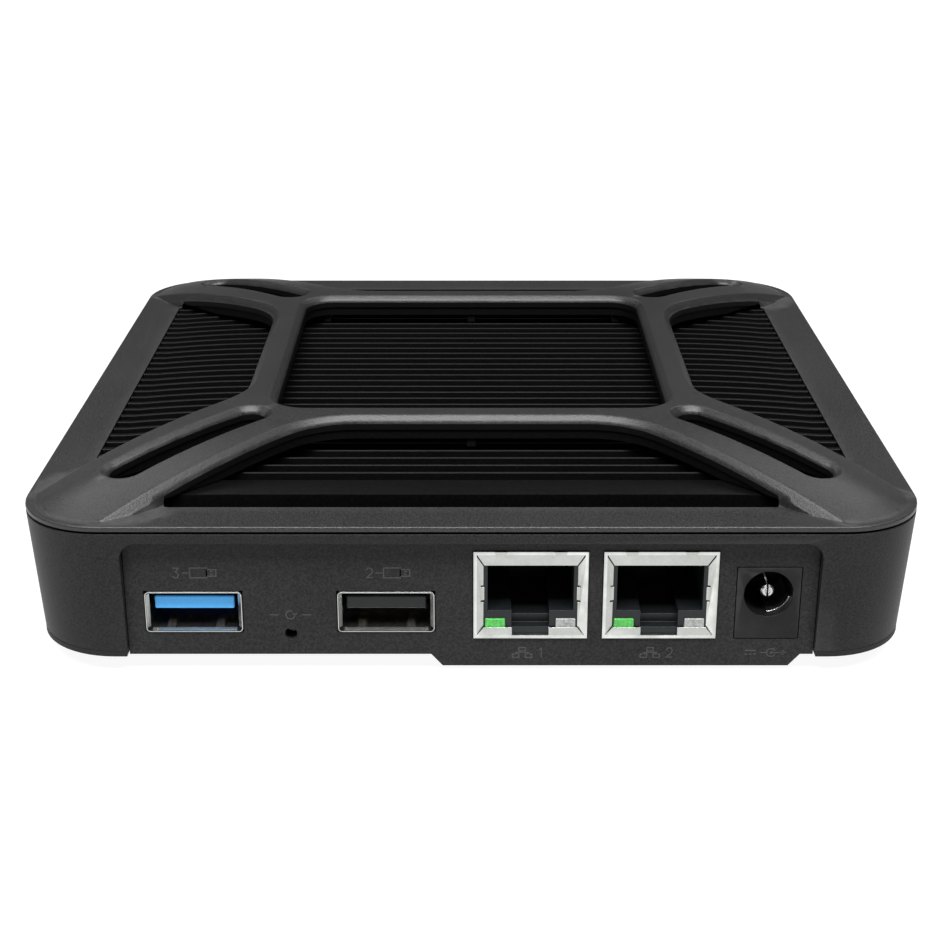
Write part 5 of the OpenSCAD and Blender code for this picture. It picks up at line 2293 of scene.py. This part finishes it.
@dataclass
class PowerInlet:
    """The power inlet: block, centre pin and side spring."""

    palette: Palette
    pin_l: float = 8.6
    slit_w: float = 0.26
    slit_l: float = 2.6

    def block(self) -> Piece:
        """The block with softened edges."""
        made = copy_node("dc_jack_housing", "inlet_block", self.palette.get(Paint.INLET))
        return soften(made, 0.22, 3, 40.0)

    def pin(self) -> Piece:
        """The centre pin, with a domed tip that is split across.

        Returns:
            The pin.
        """
        low, high = node_box("dc_jack_pin")
        x = (low.x + high.x) / 2.0
        z = (low.z + high.z) / 2.0
        r = (high.x - low.x) / 2.0
        profile = [
            (0.0, 0.0), (0.02, r * 0.28), (0.12, r * 0.34), (0.06, r * 0.42), (0.1, r * 0.7),
            (0.28, r * 0.92), (0.6, r), (self.pin_l, r), (self.pin_l, r * 0.75),
            (high.y - low.y, r * 0.75), (high.y - low.y, 0.0),
        ]
        pin = turned("inlet_centre_pin", (x, low.y, z), profile, self.palette.get(Paint.SHELL))
        slit = rounded_box(
            "slit", (x - self.slit_w / 2.0, low.y - 1.0, z - r),
            (x + self.slit_w / 2.0, low.y + self.slit_l, z + r), 0.02,
            self.palette.get(Paint.SHELL),
        )
        return cut(pin, slit)

    def spring(self) -> Piece:
        """The bent strip beside the hole."""
        made = copy_node("dc_jack_spring", "inlet_side_spring", self.palette.get(Paint.SHELL))
        return soften(made, 0.05, 2, 40.0)


# ---------------- whole appliance


# CAD nodes that keep their own mesh, and the finish of each
PLAIN_NODES: dict[str, Paint] = {
    "case_screws": Paint.STEEL,
    "main_board": Paint.BOARD,
    "board_screws": Paint.STEEL,
    "reset_switch_body": Paint.BLACK,
    "thermal_pad": Paint.PAD,
    "status_lights": Paint.CLEAR_LENS,
}


@dataclass(frozen=True)
class Softened:
    """A CAD node that is shown with rounded edges."""

    node: str
    name: str
    paint: Paint
    edge: float
    slot: str
    body: str = CASE


SOFTENED_NODES = (
    Softened("processor", "processor_package", Paint.CHIP, 0.1, "chip_black"),
    Softened("memory_chips", "memory_packages", Paint.CHIP, 0.12, "chip_black"),
    Softened("flash_chip", "flash_package", Paint.CHIP, 0.12, "chip_black"),
    Softened("lan_controllers", "lan_controller_packages", Paint.CHIP, 0.1, "chip_black"),
    Softened("lan_transformers", "lan_transformer_blocks", Paint.CHIP, 0.25, "chip_black"),
    Softened("power_coils", "power_coil_blocks", Paint.FERRITE, 0.5, "ferrite"),
    Softened("can_capacitors", "capacitor_cans", Paint.STEEL, 0.3, "nickel_shell"),
    Softened("crystals", "crystal_cans", Paint.STEEL, 0.25, "nickel_shell"),
    Softened("battery_holder", "coin_cell_holder", Paint.NYLON, 0.2, "holder_plastic"),
    Softened("clock_battery", "coin_cell", Paint.STEEL, 0.15, "nickel_shell"),
    Softened("status_light_pipe", "status_light_guide", Paint.CLEAR_LENS, 0.15, "clear_lens"),
    Softened("reset_plunger", "reset_button_plunger", Paint.WHITE, 0.15, "white_plastic", BUTTON),
)


@dataclass
class Appliance:
    """Builds every piece in order and hangs it on the frame."""

    frame: dict
    palette: Palette

    def add(self, piece: Piece, slot: str, nodes: Sequence[str] = (), body: str = CASE) -> None:
        """Hangs a piece on a body.

        Args:
            piece: The finished piece.
            slot: The record's material slot; not used.
            nodes: CAD nodes that the piece stands for.
            body: The body that it rides on.
        """
        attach(piece, body)
        if nodes:
            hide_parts(*nodes)
        LOG.info("%s: %d faces", piece.name, len(piece.data.polygons))

    def add_case(self) -> None:
        """Adds the cover, heat sink, walls, bottom cover, feet and panel."""
        body = CaseBody(self.palette)
        panel = SocketPanel(self.palette)
        self.add(TopCover(self.palette).build(), "cover_plastic", ["top_cover"])
        self.add(HeatSink(self.palette).build(), "black_anodised", ["heat_sink"])
        self.add(body.walls(), "case_plastic", ["case_tub"])
        self.add(body.base(), "base_plastic", ["bottom_cover"])
        self.add(body.feet(), "rubber", ["rubber_feet"])
        self.add(panel.marks(), "panel_plastic")
        self.add(panel.build(), "panel_plastic", ["socket_panel"])

    def add_usb(self, label: str, tongue: Paint, slot: str, count: int, pitch: float) -> None:
        """Adds one USB socket.

        Args:
            label: The socket's label.
            tongue: The tongue's finish.
            slot: The tongue's slot.
            count: Number of strips.
            pitch: Distance between strips.
        """
        socket = UsbSocket(self.palette, label, tongue)
        self.add(socket.shell(), "nickel_shell", [f"{label}_shell"])
        self.add(socket.tongue(), slot, [f"{label}_tongue"])
        self.add(socket.contacts(count, pitch), "gold_contact", [f"{label}_contacts"])

    def add_lan(self, label: str) -> None:
        """Adds one network socket.

        Args:
            label: The socket's label.
        """
        socket = LanSocket(self.palette, label)
        self.add(socket.shield(), "nickel_shield", [f"{label}_shield"])
        self.add(socket.housing(), "black_plastic", [f"{label}_housing"])
        self.add(socket.contacts(), "gold_contact", [f"{label}_contacts"])
        for colour, paint in (("green", Paint.GREEN_LENS), ("clear", Paint.CLEAR_LENS)):
            self.add(socket.light_pipe(colour, paint), f"{colour}_lens", [f"{label}_{colour}_light_pipe"])

    def add_inlet(self) -> None:
        """Adds the power inlet."""
        inlet = PowerInlet(self.palette)
        self.add(inlet.block(), "black_plastic", ["dc_jack_housing"])
        self.add(inlet.pin(), "nickel_shell", ["dc_jack_pin"])
        self.add(inlet.spring(), "nickel_shell", ["dc_jack_spring"])

    def add_inside(self) -> None:
        """Adds what stands on the board, and dresses the nodes that keep their own mesh."""
        for item in SOFTENED_NODES:
            made = soften(copy_node(item.node, item.name, self.palette.get(item.paint)), item.edge, 3, 40.0)
            self.add(made, item.slot, [item.node], item.body)
        for node, paint in PLAIN_NODES.items():
            materials = self.frame["nodes"][node].data.materials
            materials.clear()
            materials.append(self.palette.get(paint))

    def build(self) -> None:
        """Builds all sub-assemblies."""
        self.add_case()
        self.add_usb("usb3", Paint.BLUE, "blue_plastic", 5, 1.9)
        self.add_usb("usb2", Paint.BLACK, "black_plastic", 4, 2.5)
        self.add_lan("lan1")
        self.add_lan("lan2")
        self.add_inlet()
        self.add_inside()


def main() -> None:
    """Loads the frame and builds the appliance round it."""
    logging.basicConfig(level=logging.INFO, format="%(name)s: %(message)s")
    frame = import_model()
    palette = Palette()
    Appliance(frame, palette).build()
    Studio(palette).build(node_box("top_cover")[1].z - TopCover.frame_h)


if __name__ == "__main__":
    main()
